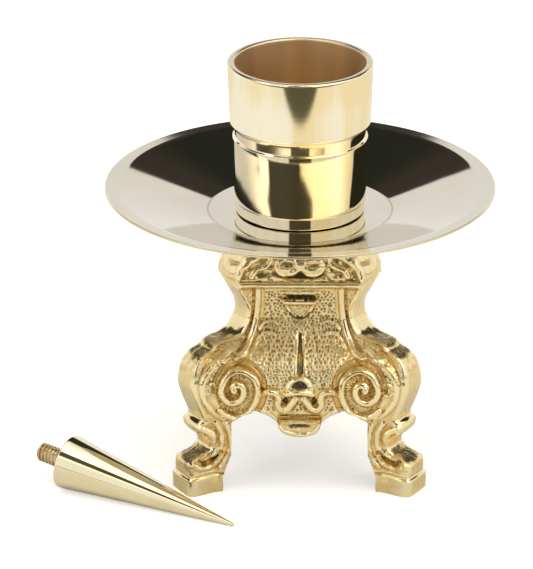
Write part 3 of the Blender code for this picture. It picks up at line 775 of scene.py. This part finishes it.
cup_outline = [
    ((0.0, BORE_FLOOR), 0),
    ((BORE_RADIUS, BORE_FLOOR), 1.0),
    ((RIM_RADIUS - 2.4, CUP_TOP), 0.8),
    ((RIM_RADIUS, CUP_TOP), 1.0),
    ((COLLAR_FOOT, CUP_TOP - COLLAR_HEIGHT), 0.35),
    ((21.5, CUP_TOP - 21.4), 0.3),
    ((21.2, CUP_TOP - 25.2), 0.25),
    ((SHOULDER_RADIUS, CUP_TOP - SHOULDER_DROP), 0.12),
    ((21.75, CUP_TOP - 36.0), 9.0),
    ((21.3, CUP_BOTTOM + FOOT_RING), 0.15),
    ((21.05, CUP_BOTTOM + FOOT_RING - 0.2), 0.15),
    ((20.9, CUP_BOTTOM), 0.4),
    ((RECESS_RADIUS, CUP_BOTTOM), 0.2),
    ((RECESS_RADIUS, RECESS_TOP), 0.1),
    ((STUD_RADIUS + STUD_ROOM, RECESS_TOP), 0.1),
    ((STUD_RADIUS + STUD_ROOM, stud_high[2] + STUD_ROOM), 0.1),
    ((0.0, stud_high[2] + STUD_ROOM), 0),
]
cup = turned("turned_cup", rounded([p for p, _ in cup_outline], [r for _, r in cup_outline]), 220)
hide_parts("candle_cup")
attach(cup, "cup")

# %% [markdown]
# ## The cup's stud and its washer
# The stud is a real screw thread, drawn as a surface whose radius depends on the height and the angle
# together. The washer is leather, cut flat, and lies in the recess under the cup so that brass doesn't
# grate on the pan.

# %% Make the cup's stud and its washer
def threaded(name, low, high, place=None):
    """A stud from one height to another, about the axis or carried to another place."""
    grid = screw_thread(low, high, STUD_RADIUS, THREAD_PITCH)
    points = grid.reshape(-1, 3)
    points = points + AXIS if place is None else place(points)
    return make_mesh(name, points, grid_triangles(*grid.shape[:2]), 60.0)

cup_screw = threaded("threaded_cup_stud", stud_low[2], stud_high[2])
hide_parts("cup_stud")
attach(cup_screw, "cup")

def flat_ring(outer, inner, low, high, edge, steps):
    """The outline of a flat ring: a rectangle with its corners rounded by edge."""
    ring_corners = [(outer, high), (outer, low), (inner, low), (inner, high)]
    return rounded(ring_corners, [edge] * 4, steps, closed=True)

LEATHER_RADIUS = 16.5
LEATHER_HOLE = 3.5
leather_outline = flat_ring(LEATHER_RADIUS, LEATHER_HOLE, washer_low[2], washer_high[2], 0.2, 3)
cup_washer = turned("leather_washer", leather_outline, 96)
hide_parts("cup_washer")
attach(cup_washer, "cup_riser")

# %% [markdown]
# ## The drip pan
# A sheet pressed and spun to shape: a flat well under the cup, a plain cone up to the edge, and a narrow
# lip. The bend round the well is crisp on top, where the spinner pressed it against a former, and softer
# underneath.

# %% Spin the pan
WELL_RADIUS = 30.0
LIP_WIDTH = 4.4
LIP_RISE = 0.37
SHEET = 0.9
PAN_DEPTH = 8.4
WELL = pan_high[2] - PAN_DEPTH
PAN_HOLE = 3.6
pan_outline = [
    ((PAN_HOLE, WELL), 0.15),
    ((WELL_RADIUS, WELL), 0.5),
    ((PAN_RADIUS - LIP_WIDTH, WELL + PAN_DEPTH - LIP_RISE), 0.9),
    ((PAN_RADIUS, WELL + PAN_DEPTH), 0.3),
    ((PAN_RADIUS, WELL + PAN_DEPTH - SHEET), 0.3),
    ((PAN_RADIUS - LIP_WIDTH, WELL + PAN_DEPTH - LIP_RISE - SHEET), 0.9),
    ((WELL_RADIUS, WELL - SHEET), 1.6),
    ((PAN_HOLE, WELL - SHEET), 0.15),
]
pan_profile = rounded([p for p, _ in pan_outline], [r for _, r in pan_outline], 8, closed=True)
pan = turned("spun_pan", pan_profile, 288)
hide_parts("drip_pan")
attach(pan, "pan")

# %% [markdown]
# ## Bush, washer and nut
# They sit inside the hollow base and hold the thread that the cup's stud screws into. The nut's flats are
# planes, so its radius at an angle is the distance to the nearest flat, cut back by a cone at both ends.

# %% Make the bush, washer and nut
bush_low, bush_high = box_mm("threaded_bush")
ring_low, ring_high = box_mm("bush_washer")
nut_low, nut_high = box_mm("bush_nut")
BUSH_BORE = 3.275
BUSH_SHANK = 6.0
FLANGE = (bush_high - bush_low)[0] / 2
FLANGE_THICKNESS = 1.2
CLEARANCE_HOLE = 6.3

bush_outline = [
    (FLANGE, bush_high[2]), (FLANGE, bush_high[2] - FLANGE_THICKNESS),
    (BUSH_SHANK, bush_high[2] - FLANGE_THICKNESS),
    (BUSH_SHANK, bush_low[2]), (BUSH_BORE, bush_low[2]), (BUSH_BORE, bush_high[2]),
]
bush = turned("turned_bush", rounded(bush_outline, [0.2, 0.2, 0.1, 0.4, 0.3, 0.3], 4, closed=True), 96)
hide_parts("threaded_bush")
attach(bush, "base")

ring_radius = (ring_high - ring_low)[0] / 2
ring_outline = flat_ring(ring_radius, CLEARANCE_HOLE, ring_low[2], ring_high[2], 0.25, 4)
ring = turned("plain_washer", ring_outline, 96)
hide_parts("bush_washer")
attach(ring, "base")

def hexagon_nut(low, high, across_flats, bore, segments=180):
    """Rows run down the outside from the bore's top edge to its bottom edge and close up through the
    bore. The radius is the distance to the nearest flat, half / cos(angle from the flat's middle), or
    that of the end's cone where this is less."""
    angle = np.linspace(0, math.tau, segments + 1)
    half = across_flats / 2
    flat = half / np.cos((angle + math.pi / 6) % (math.pi / 3) - math.pi / 6)
    flat = np.minimum(flat, half * 1.135)
    heights = np.concatenate([[0.0], np.linspace(0, 1.2, 7), [2.0]])
    heights = np.concatenate([high - heights, (low + heights)[::-1]])
    face = half * 0.97 + 1.9 * np.minimum(high - heights, heights - low)
    radius = np.minimum(flat[None], face[:, None])
    radius[0], radius[-1] = bore, bore
    radius = np.concatenate([radius, radius[:1]])
    heights = np.concatenate([heights, heights[:1]])[:, None]
    x, y = radius * np.cos(angle), radius * np.sin(angle)
    return np.stack([x, y, np.broadcast_to(heights, x.shape)], -1)

nut_grid = hexagon_nut(nut_low[2], nut_high[2], (nut_high - nut_low)[1], CLEARANCE_HOLE)
nut = make_mesh("hexagon_nut", nut_grid.reshape(-1, 3) + AXIS, grid_triangles(*nut_grid.shape[:2]), 25.0)
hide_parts("bush_nut")
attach(nut, "base")

# %% [markdown]
# ## The pricket
# A spike for a large candle, turned with a plain taper and polished. It lies on its side, so its own axis
# slopes down by half the taper's angle, and it heads towards the front right of the set.

# %% Turn the spike and lay it down
spike_low, spike_high = box_mm("pricket")
SPIKE_RADIUS = 9.05
SPIKE_TIP = 0.65
SPIKE_LENGTH = 64.0
SPIKE_HEADING = math.radians(-30)
SPIKE_SLOPE = math.atan((SPIKE_RADIUS - SPIKE_TIP) / SPIKE_LENGTH)
SPIKE_STUD_OUT = 10.5
SPIKE_STUD_IN = 6.0

along = Vector((
    math.cos(SPIKE_HEADING) * math.cos(SPIKE_SLOPE),
    math.sin(SPIKE_HEADING) * math.cos(SPIKE_SLOPE),
    -math.sin(SPIKE_SLOPE),
))
spike_turn = np.array(along.to_track_quat("Z", "Y").to_matrix())
spike_outline = [
    ((0.0, SPIKE_LENGTH), 0),
    ((SPIKE_TIP * 0.75, SPIKE_LENGTH), SPIKE_TIP * 0.5),
    ((SPIKE_RADIUS, 0.0), 0.7),
    ((STUD_RADIUS + 0.2, 0.0), 0.1),
    ((STUD_RADIUS + 0.2, SPIKE_STUD_IN + 0.3), 0.1),
    ((0.0, SPIKE_STUD_IN + 0.3), 0),
]
spike_profile = rounded([p for p, _ in spike_outline], [r for _, r in spike_outline], 8)
spike_points = turned_points(spike_profile, 180).reshape(-1, 3) @ spike_turn.T
spike_shift = (spike_low + spike_high) / 2 - (spike_points.min(0) + spike_points.max(0)) / 2

def lay_down(points):
    """Points of the spike's own frame, turned to its heading and slope and moved into its box."""
    return points @ spike_turn.T + spike_shift

spike = turned("turned_spike", spike_profile, 180, lay_down)
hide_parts("pricket")
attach(spike, "spike")
spike_stud = threaded("threaded_spike_stud", -SPIKE_STUD_OUT, SPIKE_STUD_IN, lay_down)
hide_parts("pricket_stud")
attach(spike_stud, "spike")

# %% [markdown]
# ## Writing shaders as sums
# A pattern is arithmetic on numbers that change over the surface. The class below wraps a socket, so that an
# expression such as 1 - mask adds its Math node, and a Finish makes every other node through one method.

# %% Shader helpers
class Value:
    """A socket that can stand in an expression."""

    def __init__(self, finish, socket):
        self.finish, self.socket = finish, socket

    def math(self, operation, *others):
        values = dict(enumerate((self, *others)))
        return self.finish.node("ShaderNodeMath", {"operation": operation}, values)["Value"]

    def __add__(self, other):
        return self.math("ADD", other)

    __radd__ = __add__

    def __mul__(self, other):
        return self.math("MULTIPLY", other)

    __rmul__ = __mul__

    def __sub__(self, other):
        return self.math("SUBTRACT", other)

    def __rsub__(self, other):
        return (self * -1.0).math("ADD", other)

    def power(self, other):
        return self.math("POWER", other)

    def step(self, low, high):
        """0 at low and 1 at high, with soft ends; low may be the larger."""
        settings = {"interpolation_type": "SMOOTHSTEP"}
        values = {"Value": self, "From Min": low, "From Max": high}
        return self.finish.node("ShaderNodeMapRange", settings, values)["Result"]

class Made:
    """The outputs of a node, by name."""

    def __init__(self, finish, node):
        self.finish, self.node = finish, node

    def __getitem__(self, name):
        sockets = [s for s in self.node.outputs if s.enabled and s.name == name]
        return Value(self.finish, sockets[0])

class Finish:
    """A node tree with one shader whose even values are set on its own sockets."""

    def __init__(self, tree):
        self.tree = tree
        tree.nodes.clear()

    def node(self, kind, settings=None, values=None):
        """Any node. Settings are its own properties, and values go to its inputs, by name or by number."""
        made = self.tree.nodes.new(kind)
        for name, setting in (settings or {}).items():
            setattr(made, name, setting)
        for key, value in (values or {}).items():
            named = [socket for socket in made.inputs if socket.enabled and socket.name == key]
            socket = named[0] if named else made.inputs[key]
            if isinstance(value, Value):
                self.tree.links.new(value.socket, socket)
            elif isinstance(value, tuple) and len(value) == 3 and socket.type == "RGBA":
                socket.default_value = (*value, 1.0)
            else:
                socket.default_value = value
        return Made(self, made)

    def mix(self, factor, first, second):
        values = {"Factor": factor, "A": first, "B": second}
        return self.node("ShaderNodeMix", {"data_type": "RGBA"}, values)["Result"]

    def place(self, centre=(0.0, 0.0, 0.0)):
        """Object coordinates in millimetres from a centre, also in millimetres."""
        raw = self.node("ShaderNodeTexCoord")["Object"]
        values = {"Vector": raw, "Scale": (1 / MM,) * 3, "Location": tuple(-c for c in centre)}
        return self.node("ShaderNodeMapping", {"vector_type": "POINT"}, values)["Vector"]

    def stretched(self, vector, factors):
        """The vector with each part multiplied by a factor."""
        return self.node("ShaderNodeVectorMath", {"operation": "MULTIPLY"}, {0: vector, 1: factors})["Vector"]

    def noise(self, vector, size, detail):
        """Noise from 0 to 1 whose largest lumps are about size millimetres across."""
        values = {"Vector": vector, "Scale": 1.0 / size, "Detail": detail}
        return self.node("ShaderNodeTexNoise", None, values)["Fac"]

    def bump(self, height, strength, distance_mm):
        values = {"Height": height, "Strength": strength, "Distance": distance_mm * MM}
        return self.node("ShaderNodeBump", None, values)["Normal"]

def finish_material(name, build, **even):
    """A material: build(finish) returns the values that vary, by socket name; even ones are set as they
    are."""
    material = bpy.data.materials.new(name)
    material.use_nodes = True
    finish = Finish(material.node_tree)
    varying = build(finish)
    values = {**{key.replace("_", " "): value for key, value in even.items()}, **varying}
    shader = finish.node("ShaderNodeBsdfPrincipled", None, values)["BSDF"]
    finish.node("ShaderNodeOutputMaterial", None, {"Surface": shader})
    print(name, "is drawn by", len(material.node_tree.nodes), "nodes")
    return material

# %% [markdown]
# ## Cast and chased brass
# The high parts are buffed bright. Polish and old lacquer stay in the hollows and the punched dots, which
# also carry painted shade, so the metal there turns from gold to amber and deep brown; grooves and recesses
# are painted olive brown as shade. The punched ground is matt beside the mirror of the facets. The shoulder
# rolls and the toes were dressed with a hammer, which breaks up their mirror, and amber blotches on them are
# painted reflection.

# %% The base's finish
BRIGHT_BRASS = (0.95, 0.83, 0.54)
GOLD_BRASS = (0.78, 0.62, 0.31)
AMBER_BRASS = (0.72, 0.47, 0.16)
DEEP_BRASS = (0.27, 0.17, 0.05)
# The olive of the painted shade in grooves and recesses.
OLIVE_PAINTED_SHADE = (0.10, 0.095, 0.05)

def mark(finish, name):
    """A mark that the mesh carries for each point."""
    return finish.node("ShaderNodeAttribute", {"attribute_name": name})["Fac"]

def chased_brass(finish):
    """Bright brass goes to gold, amber, deep brown and olive as a place lies deeper or is marked: in the
    hollows and dots partly old lacquer and partly painted shade, in the marked dark places painted shade.
    """
    place = finish.place()
    hollow, chased, pits = mark(finish, "hollow"), mark(finish, "chased"), mark(finish, "pits")
    dark, amber_mark = mark(finish, "dark"), mark(finish, "amber")
    cloud = finish.noise(place, 9.0, 4.0)
    grain = finish.noise(place, 0.7, 3.0)
    blotch = finish.noise(place, 2.2, 4.0)
    # High parts stay bright and hollows turn gold, partly old lacquer and partly painted shade.
    wear_and_shade = (hollow * -1.0 + (grain - 0.5) * 0.5).step(-0.25, 0.45)
    colour = finish.mix(wear_and_shade, GOLD_BRASS, BRIGHT_BRASS)
    colour = finish.mix(cloud.step(0.35, 0.75) * 0.3, colour, (0.84, 0.67, 0.33))
    # Hollows, blotches and the amber mark turn amber; in the hollows this is partly painted shade.
    amber = (hollow + (blotch - 0.5) * 0.9 + amber_mark * 0.9).step(0.15, 0.95)
    colour = finish.mix(amber * 0.85, colour, AMBER_BRASS)
    # Punched dots and the deepest hollows turn deep brown, partly old polish in them and partly painted
    # shade.
    deep = (hollow * 0.5 + pits * 0.95 + (grain - 0.5) * 0.3).step(0.25, 0.95)
    colour = finish.mix(deep * 0.85, colour, DEEP_BRASS)
    # Painted shade: the places marked dark turn olive.
    colour = finish.mix((dark + (grain - 0.5) * 0.3).step(0.35, 0.8) * 0.9, colour, OLIVE_PAINTED_SHADE)
    level = finish.node("ShaderNodeSeparateXYZ", None, {"Vector": place})["Z"]
    shoulder = (level - 46.5).math("ABSOLUTE").step(6.5, 4.0)
    toe = (level - 11.5).math("ABSOLUTE").step(4.0, 2.5)
    hammered = shoulder.math("MAXIMUM", toe) * (1.0 - chased)
    # Painted reflection: amber blotches on the hammered shoulder rolls and toes.
    colour = finish.mix(hammered * blotch.step(0.42, 0.58) * 0.6, colour, AMBER_BRASS)
    roughness = 0.12 + amber * 0.10 + chased * 0.20 + hammered * 0.10 + (grain - 0.5) * 0.08
    height = cloud * 0.6 + grain * 0.25 + blotch * hammered * 4.5
    return {"Base Color": colour, "Roughness": roughness, "Normal": finish.bump(height, 0.35, 0.12)}

chased_finish = finish_material("chased_brass", chased_brass, Metallic=1.0)
for casting in sides.values():
    casting.data.materials.append(chased_finish)

# %% [markdown]
# ## The plate inside
# The plate that closes the base is seen only through the arches. It is left as it came from the sand.

# %% The plate's finish
def plain_cast(finish):
    """Dull brass with brown clouds and a sandy grain."""
    place = finish.place()
    grain = finish.noise(place, 0.9, 4.0)
    cloud = finish.noise(place, 7.0, 3.0)
    colour = finish.mix(cloud.step(0.3, 0.75), (0.60, 0.43, 0.18), (0.38, 0.26, 0.10))
    return {"Base Color": colour, "Roughness": 0.36 + grain * 0.2, "Normal": finish.bump(grain, 0.4, 0.1)}

plate_finish = finish_material("plain_cast_brass", plain_cast, Metallic=1.0)
plate = bpy.data.objects["top_plate"]
plate.data.materials.clear()
plate.data.materials.append(plate_finish)

# %% [markdown]
# ## Turned brass
# A polished turned surface keeps faint rings from the tool and the buff. The rings depend only on the
# radius and the height, so they run round the piece. Inside the bore the tool marks are left, and the
# metal is browner. Upright streaks outside are painted reflection, and streaks in the bore are painted
# highlight.

# %% The cup's finish
def ring_pattern(finish, place, pitch):
    """Noise of radius and height alone: the same all the way round."""
    parts = finish.node("ShaderNodeSeparateXYZ", None, {"Vector": place})
    radius = (parts["X"] * parts["X"] + parts["Y"] * parts["Y"]).power(0.5)
    flat = finish.node("ShaderNodeCombineXYZ", None, {"X": radius, "Y": parts["Z"], "Z": 0.0})["Vector"]
    return radius, parts["Z"], finish.noise(flat, pitch, 3.0)

def cup_brass(finish):
    """Pale polish with upright golden streaks outside that are painted reflection, browner tool marks inside
    with streaks of painted highlight, and a duller rim. A place is inside when its radius is less than that
    of the middle of the wall at its height."""
    place = finish.place(tuple(AXIS))
    radius, height, rings = ring_pattern(finish, place, 0.45)
    # Painted reflection: upright streaks that grow more golden towards the top.
    streaks = finish.noise(finish.stretched(place, (1.0, 1.0, 0.03)), 7.0, 3.0)
    mid_wall = (height - BORE_FLOOR) * (1.3 / BORE_DEPTH) + (BORE_RADIUS + 0.7)
    inside = (mid_wall - radius).step(-0.15, 0.15) * height.step(BORE_FLOOR - 0.6, BORE_FLOOR + 0.2)
    golden = (streaks + height.step(CUP_TOP - 14.0, CUP_TOP - 2.0) * 0.16).step(0.42, 0.66)
    outside_colour = finish.mix(golden, (0.98, 0.92, 0.76), (0.93, 0.79, 0.48))
    inside_colour = finish.mix(rings.step(0.35, 0.7) * 0.4, (0.97, 0.76, 0.48), (0.84, 0.63, 0.38))
    # Painted highlight: soft upright streaks across the bore.
    bore_highlight_streaks = finish.noise(finish.stretched(place, (1.0, 1.0, 0.02)), 16.0, 2.0)
    inside_colour = finish.mix(bore_highlight_streaks.step(0.42, 0.62) * 0.7, inside_colour, (0.74, 0.60, 0.40))
    colour = finish.mix(inside, outside_colour, inside_colour)
    rim = height.step(CUP_TOP - 0.35, CUP_TOP - 0.1)
    colour = finish.mix(rim, colour, (0.62, 0.55, 0.41))
    roughness = 0.05 + (rings - 0.5) * 0.03 + inside * (0.30 + rings * 0.10) + rim * 0.12
    bump = finish.bump(rings * (0.12 + inside * 0.5), 0.35, 0.02)
    return {"Base Color": colour, "Roughness": roughness, "Normal": bump}

cup_finish = finish_material("turned_cup_brass", cup_brass, Metallic=1.0)
cup.data.materials.append(cup_finish)

# %% [markdown]
# ## The spike and the threads
# The spike is plain polished brass, a little cloudy from handling. Threads are never polished: the loose
# spike's stud is worn light, and the hidden threads, the nut and the washer have browned.

# %% The finish of the spike and the threads
def spike_brass(finish):
    """Two close tones of brass in large soft clouds."""
    place = finish.place()
    cloud = finish.noise(place, 12.0, 3.0)
    fine = finish.noise(place, 0.5, 2.0)
    colour = finish.mix(cloud.step(0.35, 0.7) * 0.5, (0.84, 0.75, 0.52), (0.78, 0.66, 0.42))
    return {"Base Color": colour, "Roughness": 0.06 + fine * 0.03, "Normal": finish.bump(cloud, 0.15, 0.1)}

spike_finish = finish_material("turned_spike_brass", spike_brass, Metallic=1.0)
spike.data.materials.append(spike_finish)

def screw_brass(light, dark, clouds, smoothest, uneven):
    """The finish of a thread, light where it rubs and dark where old grease stays. Clouds are the two
    noise values between which the colour turns, and the roughness is smoothest plus the grain times
    uneven."""

    def build(finish):
        place = finish.place()
        grain = finish.noise(place, 0.6, 4.0)
        cloud = finish.noise(place, 3.0, 2.0)
        colour = finish.mix(cloud.step(*clouds), light, dark)
        bump = finish.bump(grain, 0.3, 0.05)
        return {"Base Color": colour, "Roughness": smoothest + grain * uneven, "Normal": bump}

    return build

handled = screw_brass((0.74, 0.63, 0.42), (0.56, 0.38, 0.22), (0.40, 0.65), 0.18, 0.15)
spike_stud.data.materials.append(finish_material("worn_thread_brass", handled, Metallic=1.0))
hidden = screw_brass((0.52, 0.37, 0.17), (0.30, 0.20, 0.09), (0.35, 0.7), 0.25, 0.2)
thread_finish = finish_material("browned_brass", hidden, Metallic=1.0)
for piece in (cup_screw, bush, ring, nut):
    piece.data.materials.append(thread_finish)

# %% [markdown]
# ## The pan's pale metal
# The pan is paler than brass, with a warm silver tone, and buffed to a mirror with the faintest ripple of a
# hand-finished sheet. A dark line of painted shade runs round the bend of the well, and the cut edge of the
# lip is more golden.

# %% The pan's finish
def pan_metal(finish):
    """Two close pale tones in clouds, a darker ring of painted shade at the well's bend and gold at the
    outermost radius.
    """
    place = finish.place(tuple(AXIS))
    radius, _, rings = ring_pattern(finish, place, 0.6)
    cloud = finish.noise(place, 22.0, 2.0)
    colour = finish.mix(cloud.step(0.35, 0.7), (0.64, 0.59, 0.49), (0.61, 0.555, 0.455))
    # Painted shade: a dark line round the bend of the well.
    bend_painted_shade = ((radius - WELL_RADIUS).math("ABSOLUTE") * -1.0).step(-0.42, -0.18)
    colour = finish.mix(bend_painted_shade * 0.7, colour, (0.33, 0.29, 0.21))
    colour = finish.mix(radius.step(PAN_RADIUS - 0.55, PAN_RADIUS - 0.25), colour, (0.80, 0.69, 0.46))
    roughness = 0.035 + rings * 0.03
    ripple = cloud * 0.9 + rings * 0.02
    return {"Base Color": colour, "Roughness": roughness, "Normal": finish.bump(ripple, 0.25, 0.12)}

pan_finish = finish_material("pale_polished_metal", pan_metal, Metallic=1.0)
pan.data.materials.append(pan_finish)

# %% [markdown]
# ## Leather
# The washer under the cup is brown leather: matt, with a fine grain that noise gives in colour and in bump.

# %% The washer's finish
def washer_leather(finish):
    """Two browns mixed by the grain."""
    place = finish.place()
    grain = finish.noise(place, 0.8, 4.0)
    colour = finish.mix(grain.step(0.3, 0.7), (0.24, 0.13, 0.07), (0.14, 0.075, 0.04))
    return {"Base Color": colour, "Roughness": 0.65 + grain * 0.2, "Normal": finish.bump(grain, 0.6, 0.15)}

leather_finish = finish_material("washer_leather", washer_leather, Metallic=0.0)
cup_washer.data.materials.append(leather_finish)

# %% [markdown]
# ## The floor
# White paper lies under the set and ends a little way in front of it. The dark table beyond shows as a
# dark point on the cup's collar. Looked at directly the floor is an even white, so that nothing draws the
# eye from the brass.

# %% Floor
FLOOR_HALF = 4.0
PAPER_FRONT = 300.0
PAPER_EDGE = 6.0
FLOOR_GLOW = 0.50
WHITE = (1.0, 1.0, 1.0)
BLACK = (0.0, 0.0, 0.0)
floor_mesh = bpy.data.meshes.new("floor")
corners = [(x * FLOOR_HALF, y * FLOOR_HALF, 0) for x, y in ((-1, -1), (1, -1), (1, 1), (-1, 1))]
floor_mesh.from_pydata(corners, [], [(0, 1, 2, 3)])
floor = bpy.data.objects.new("floor", floor_mesh)
bpy.context.scene.collection.objects.link(floor)

def pale_floor(finish):
    """White paper that ends a little way in front of the set, where the darker table begins."""
    place = finish.place()
    cloud = finish.noise(place, 60.0, 2.0)
    forward = finish.node("ShaderNodeSeparateXYZ", None, {"Vector": place})["Y"]
    seen = finish.node("ShaderNodeLightPath")["Is Camera Ray"]
    paper = forward.step(-PAPER_FRONT - PAPER_EDGE, -PAPER_FRONT + PAPER_EDGE).math("MAXIMUM", seen)
    white = finish.mix(cloud, (0.76, 0.755, 0.735), (0.78, 0.775, 0.755))
    glow = finish.mix(seen, BLACK, WHITE)
    return {"Base Color": finish.mix(paper, (0.08, 0.08, 0.06), white), "Emission Color": glow}

floor_even = {"Roughness": 0.9, "Specular_IOR_Level": 0.1, "Emission_Strength": FLOOR_GLOW}
floor_mesh.materials.append(finish_material("pale_floor", pale_floor, **floor_even))
print("the paper ends", PAPER_FRONT, "mm in front")

# %% [markdown]
# ## The room
# Polished brass is mostly a picture of its room, so the room is painted on the sky by direction: white
# walls, a brighter ceiling in front, a dark backdrop behind, somebody in dark clothes at the front left
# and a narrow stand straight ahead. The backdrop gives the pan its two dark wings, and the figure gives
# the cup its dark arch.

# %% World
ROOM_STRENGTH = 1.05
CEILING = (2.2, 2.05, 1.72)
BACKDROP_LOW = (0.052, 0.046, 0.039)
BACKDROP_HIGH = (0.027, 0.030, 0.023)
DARK_CLOTH = (0.085, 0.082, 0.060)

def backdrop_mask(aside, ahead, up, bearing):
    """A wedge about straight back that is wider to the right, and a screen on the left whose top slopes down
    towards the back. Both begin at the same height. Each edge is a soft step."""
    wedge = (ahead - (aside * 0.40).math("MAXIMUM", aside * -3.4)).step(0.0, 0.03) * up.step(0.92, 0.86)
    screen_top = bearing * 0.0446 + 0.854
    screen = (bearing * -1.0).step(1.36, 1.46) * (screen_top - up).step(0.0, 0.006)
    return wedge.math("MAXIMUM", screen) * up.step(0.450, 0.464)

def figure_mask(up, bearing):
    """A figure at the front left that widens with height, and a narrow stand straight ahead that shows below
    the figure and above it."""
    spread_up = (up - 0.805).math("MAXIMUM", 0.0)
    left_edge = (bearing + spread_up * 22.0).step(-1.12, -1.04)
    right_edge = (bearing - spread_up * 17.0).step(0.02, -0.05)
    figure = left_edge * right_edge * up.step(0.62, 0.68) * up.step(0.868, 0.858)
    low = up.step(0.02, 0.06) * up.step(0.66, 0.60)
    high = up.step(0.858, 0.868) * up.step(0.95, 0.93)
    stand = (0.36 - bearing.math("ABSOLUTE")).step(0.0, 0.04) * low.math("MAXIMUM", high)
    return figure.math("MAXIMUM", stand)

def room_colour(sky):
    """The room by direction: aside is to the right, ahead is away behind the set, and up is the sine of the
    height. The bearing is the angle round from straight in front, in radians, positive to the right."""
    generated = sky.node("ShaderNodeTexCoord")["Generated"]
    direction = sky.node("ShaderNodeSeparateXYZ", None, {"Vector": generated})
    aside, ahead, up = direction["X"], direction["Y"], direction["Z"]
    bearing = aside.math("ARCTAN2", ahead * -1.0)
    overhead = (ahead * -1.0 + 0.35).step(0.0, 0.5) * up.step(0.50, 0.70)
    room = sky.mix(overhead, WHITE, CEILING)
    backdrop = sky.mix(up.step(0.55, 0.66), BACKDROP_LOW, BACKDROP_HIGH)
    room = sky.mix(backdrop_mask(aside, ahead, up, bearing), room, backdrop)
    return sky.mix(figure_mask(up, bearing), room, DARK_CLOTH)

world = bpy.data.worlds.new("studio")
bpy.context.scene.world = world
world.use_nodes = True
sky = Finish(world.node_tree)
seen = sky.node("ShaderNodeLightPath")["Is Camera Ray"]
background = sky.mix(seen, room_colour(sky), WHITE)
glow = {"Color": background, "Strength": ROOM_STRENGTH}
shader = sky.node("ShaderNodeBackground", None, glow)["Background"]
sky.node("ShaderNodeOutputWorld", None, {"Surface": shader})
print("the room is drawn by", len(world.node_tree.nodes), "nodes")

# %% [markdown]
# ## Soft boxes
# Two large soft boxes stand at the sides and one hangs over the set. They light the floor and soften the
# shadows. The metals don't mirror them, because the painted room already holds everything that the brass
# should show.

# %% Lights
SET_MIDDLE = 0.07

def soft_box(name, place, aim, width, height, power):
    """A rectangular area light at a place, turned to face its aim."""
    light = bpy.data.lights.new(name, "AREA")
    light.shape = "RECTANGLE"
    light.size, light.size_y = width, height
    light.energy = power
    box = bpy.data.objects.new(name, light)
    box.visible_glossy = False
    bpy.context.scene.collection.objects.link(box)
    box.location = place
    box.rotation_euler = (Vector(aim) - Vector(place)).to_track_quat("-Z", "Y").to_euler()
    print(name, power, "W")

axis_point = Vector(AXIS * MM)
middle = axis_point + Vector((0.0, 0.0, SET_MIDDLE))
soft_box("left_soft_box", (-0.95, -0.35, 0.75), middle, 0.62, 0.75, 1.6)
soft_box("right_soft_box", (1.0, -0.25, 0.70), middle, 0.48, 0.6, 1.0)
soft_box("top_soft_box", (0.0, -0.5, 1.6), middle, 0.75, 0.48, 2.5)

# %% [markdown]
# ## Camera
# A long lens from well back keeps the shapes true. It looks down by a little over twenty degrees, so that the
# pan's dish, the cup's bore and the front of the base all show.

# %% Camera
CAMERA_DISTANCE = 1.625
CAMERA_HEIGHT = 0.723
LENS = 339.0
LOOK_ASIDE = -0.0109
LOOK_HEIGHT = 0.064
camera_data = bpy.data.cameras.new("camera")
camera_data.lens = LENS
camera = bpy.data.objects.new("camera", camera_data)
bpy.context.scene.collection.objects.link(camera)
camera.location = axis_point + Vector((0.0, -CAMERA_DISTANCE, CAMERA_HEIGHT))
look_at = axis_point + Vector((LOOK_ASIDE, 0.0, LOOK_HEIGHT))
camera.rotation_euler = (look_at - camera.location).to_track_quat("-Z", "Y").to_euler()
bpy.context.scene.camera = camera
bpy.context.scene.view_settings.view_transform = "Standard"
downward = math.atan((CAMERA_HEIGHT - LOOK_HEIGHT) / CAMERA_DISTANCE)
print("the camera looks down by", round(math.degrees(downward), 1), "degrees")
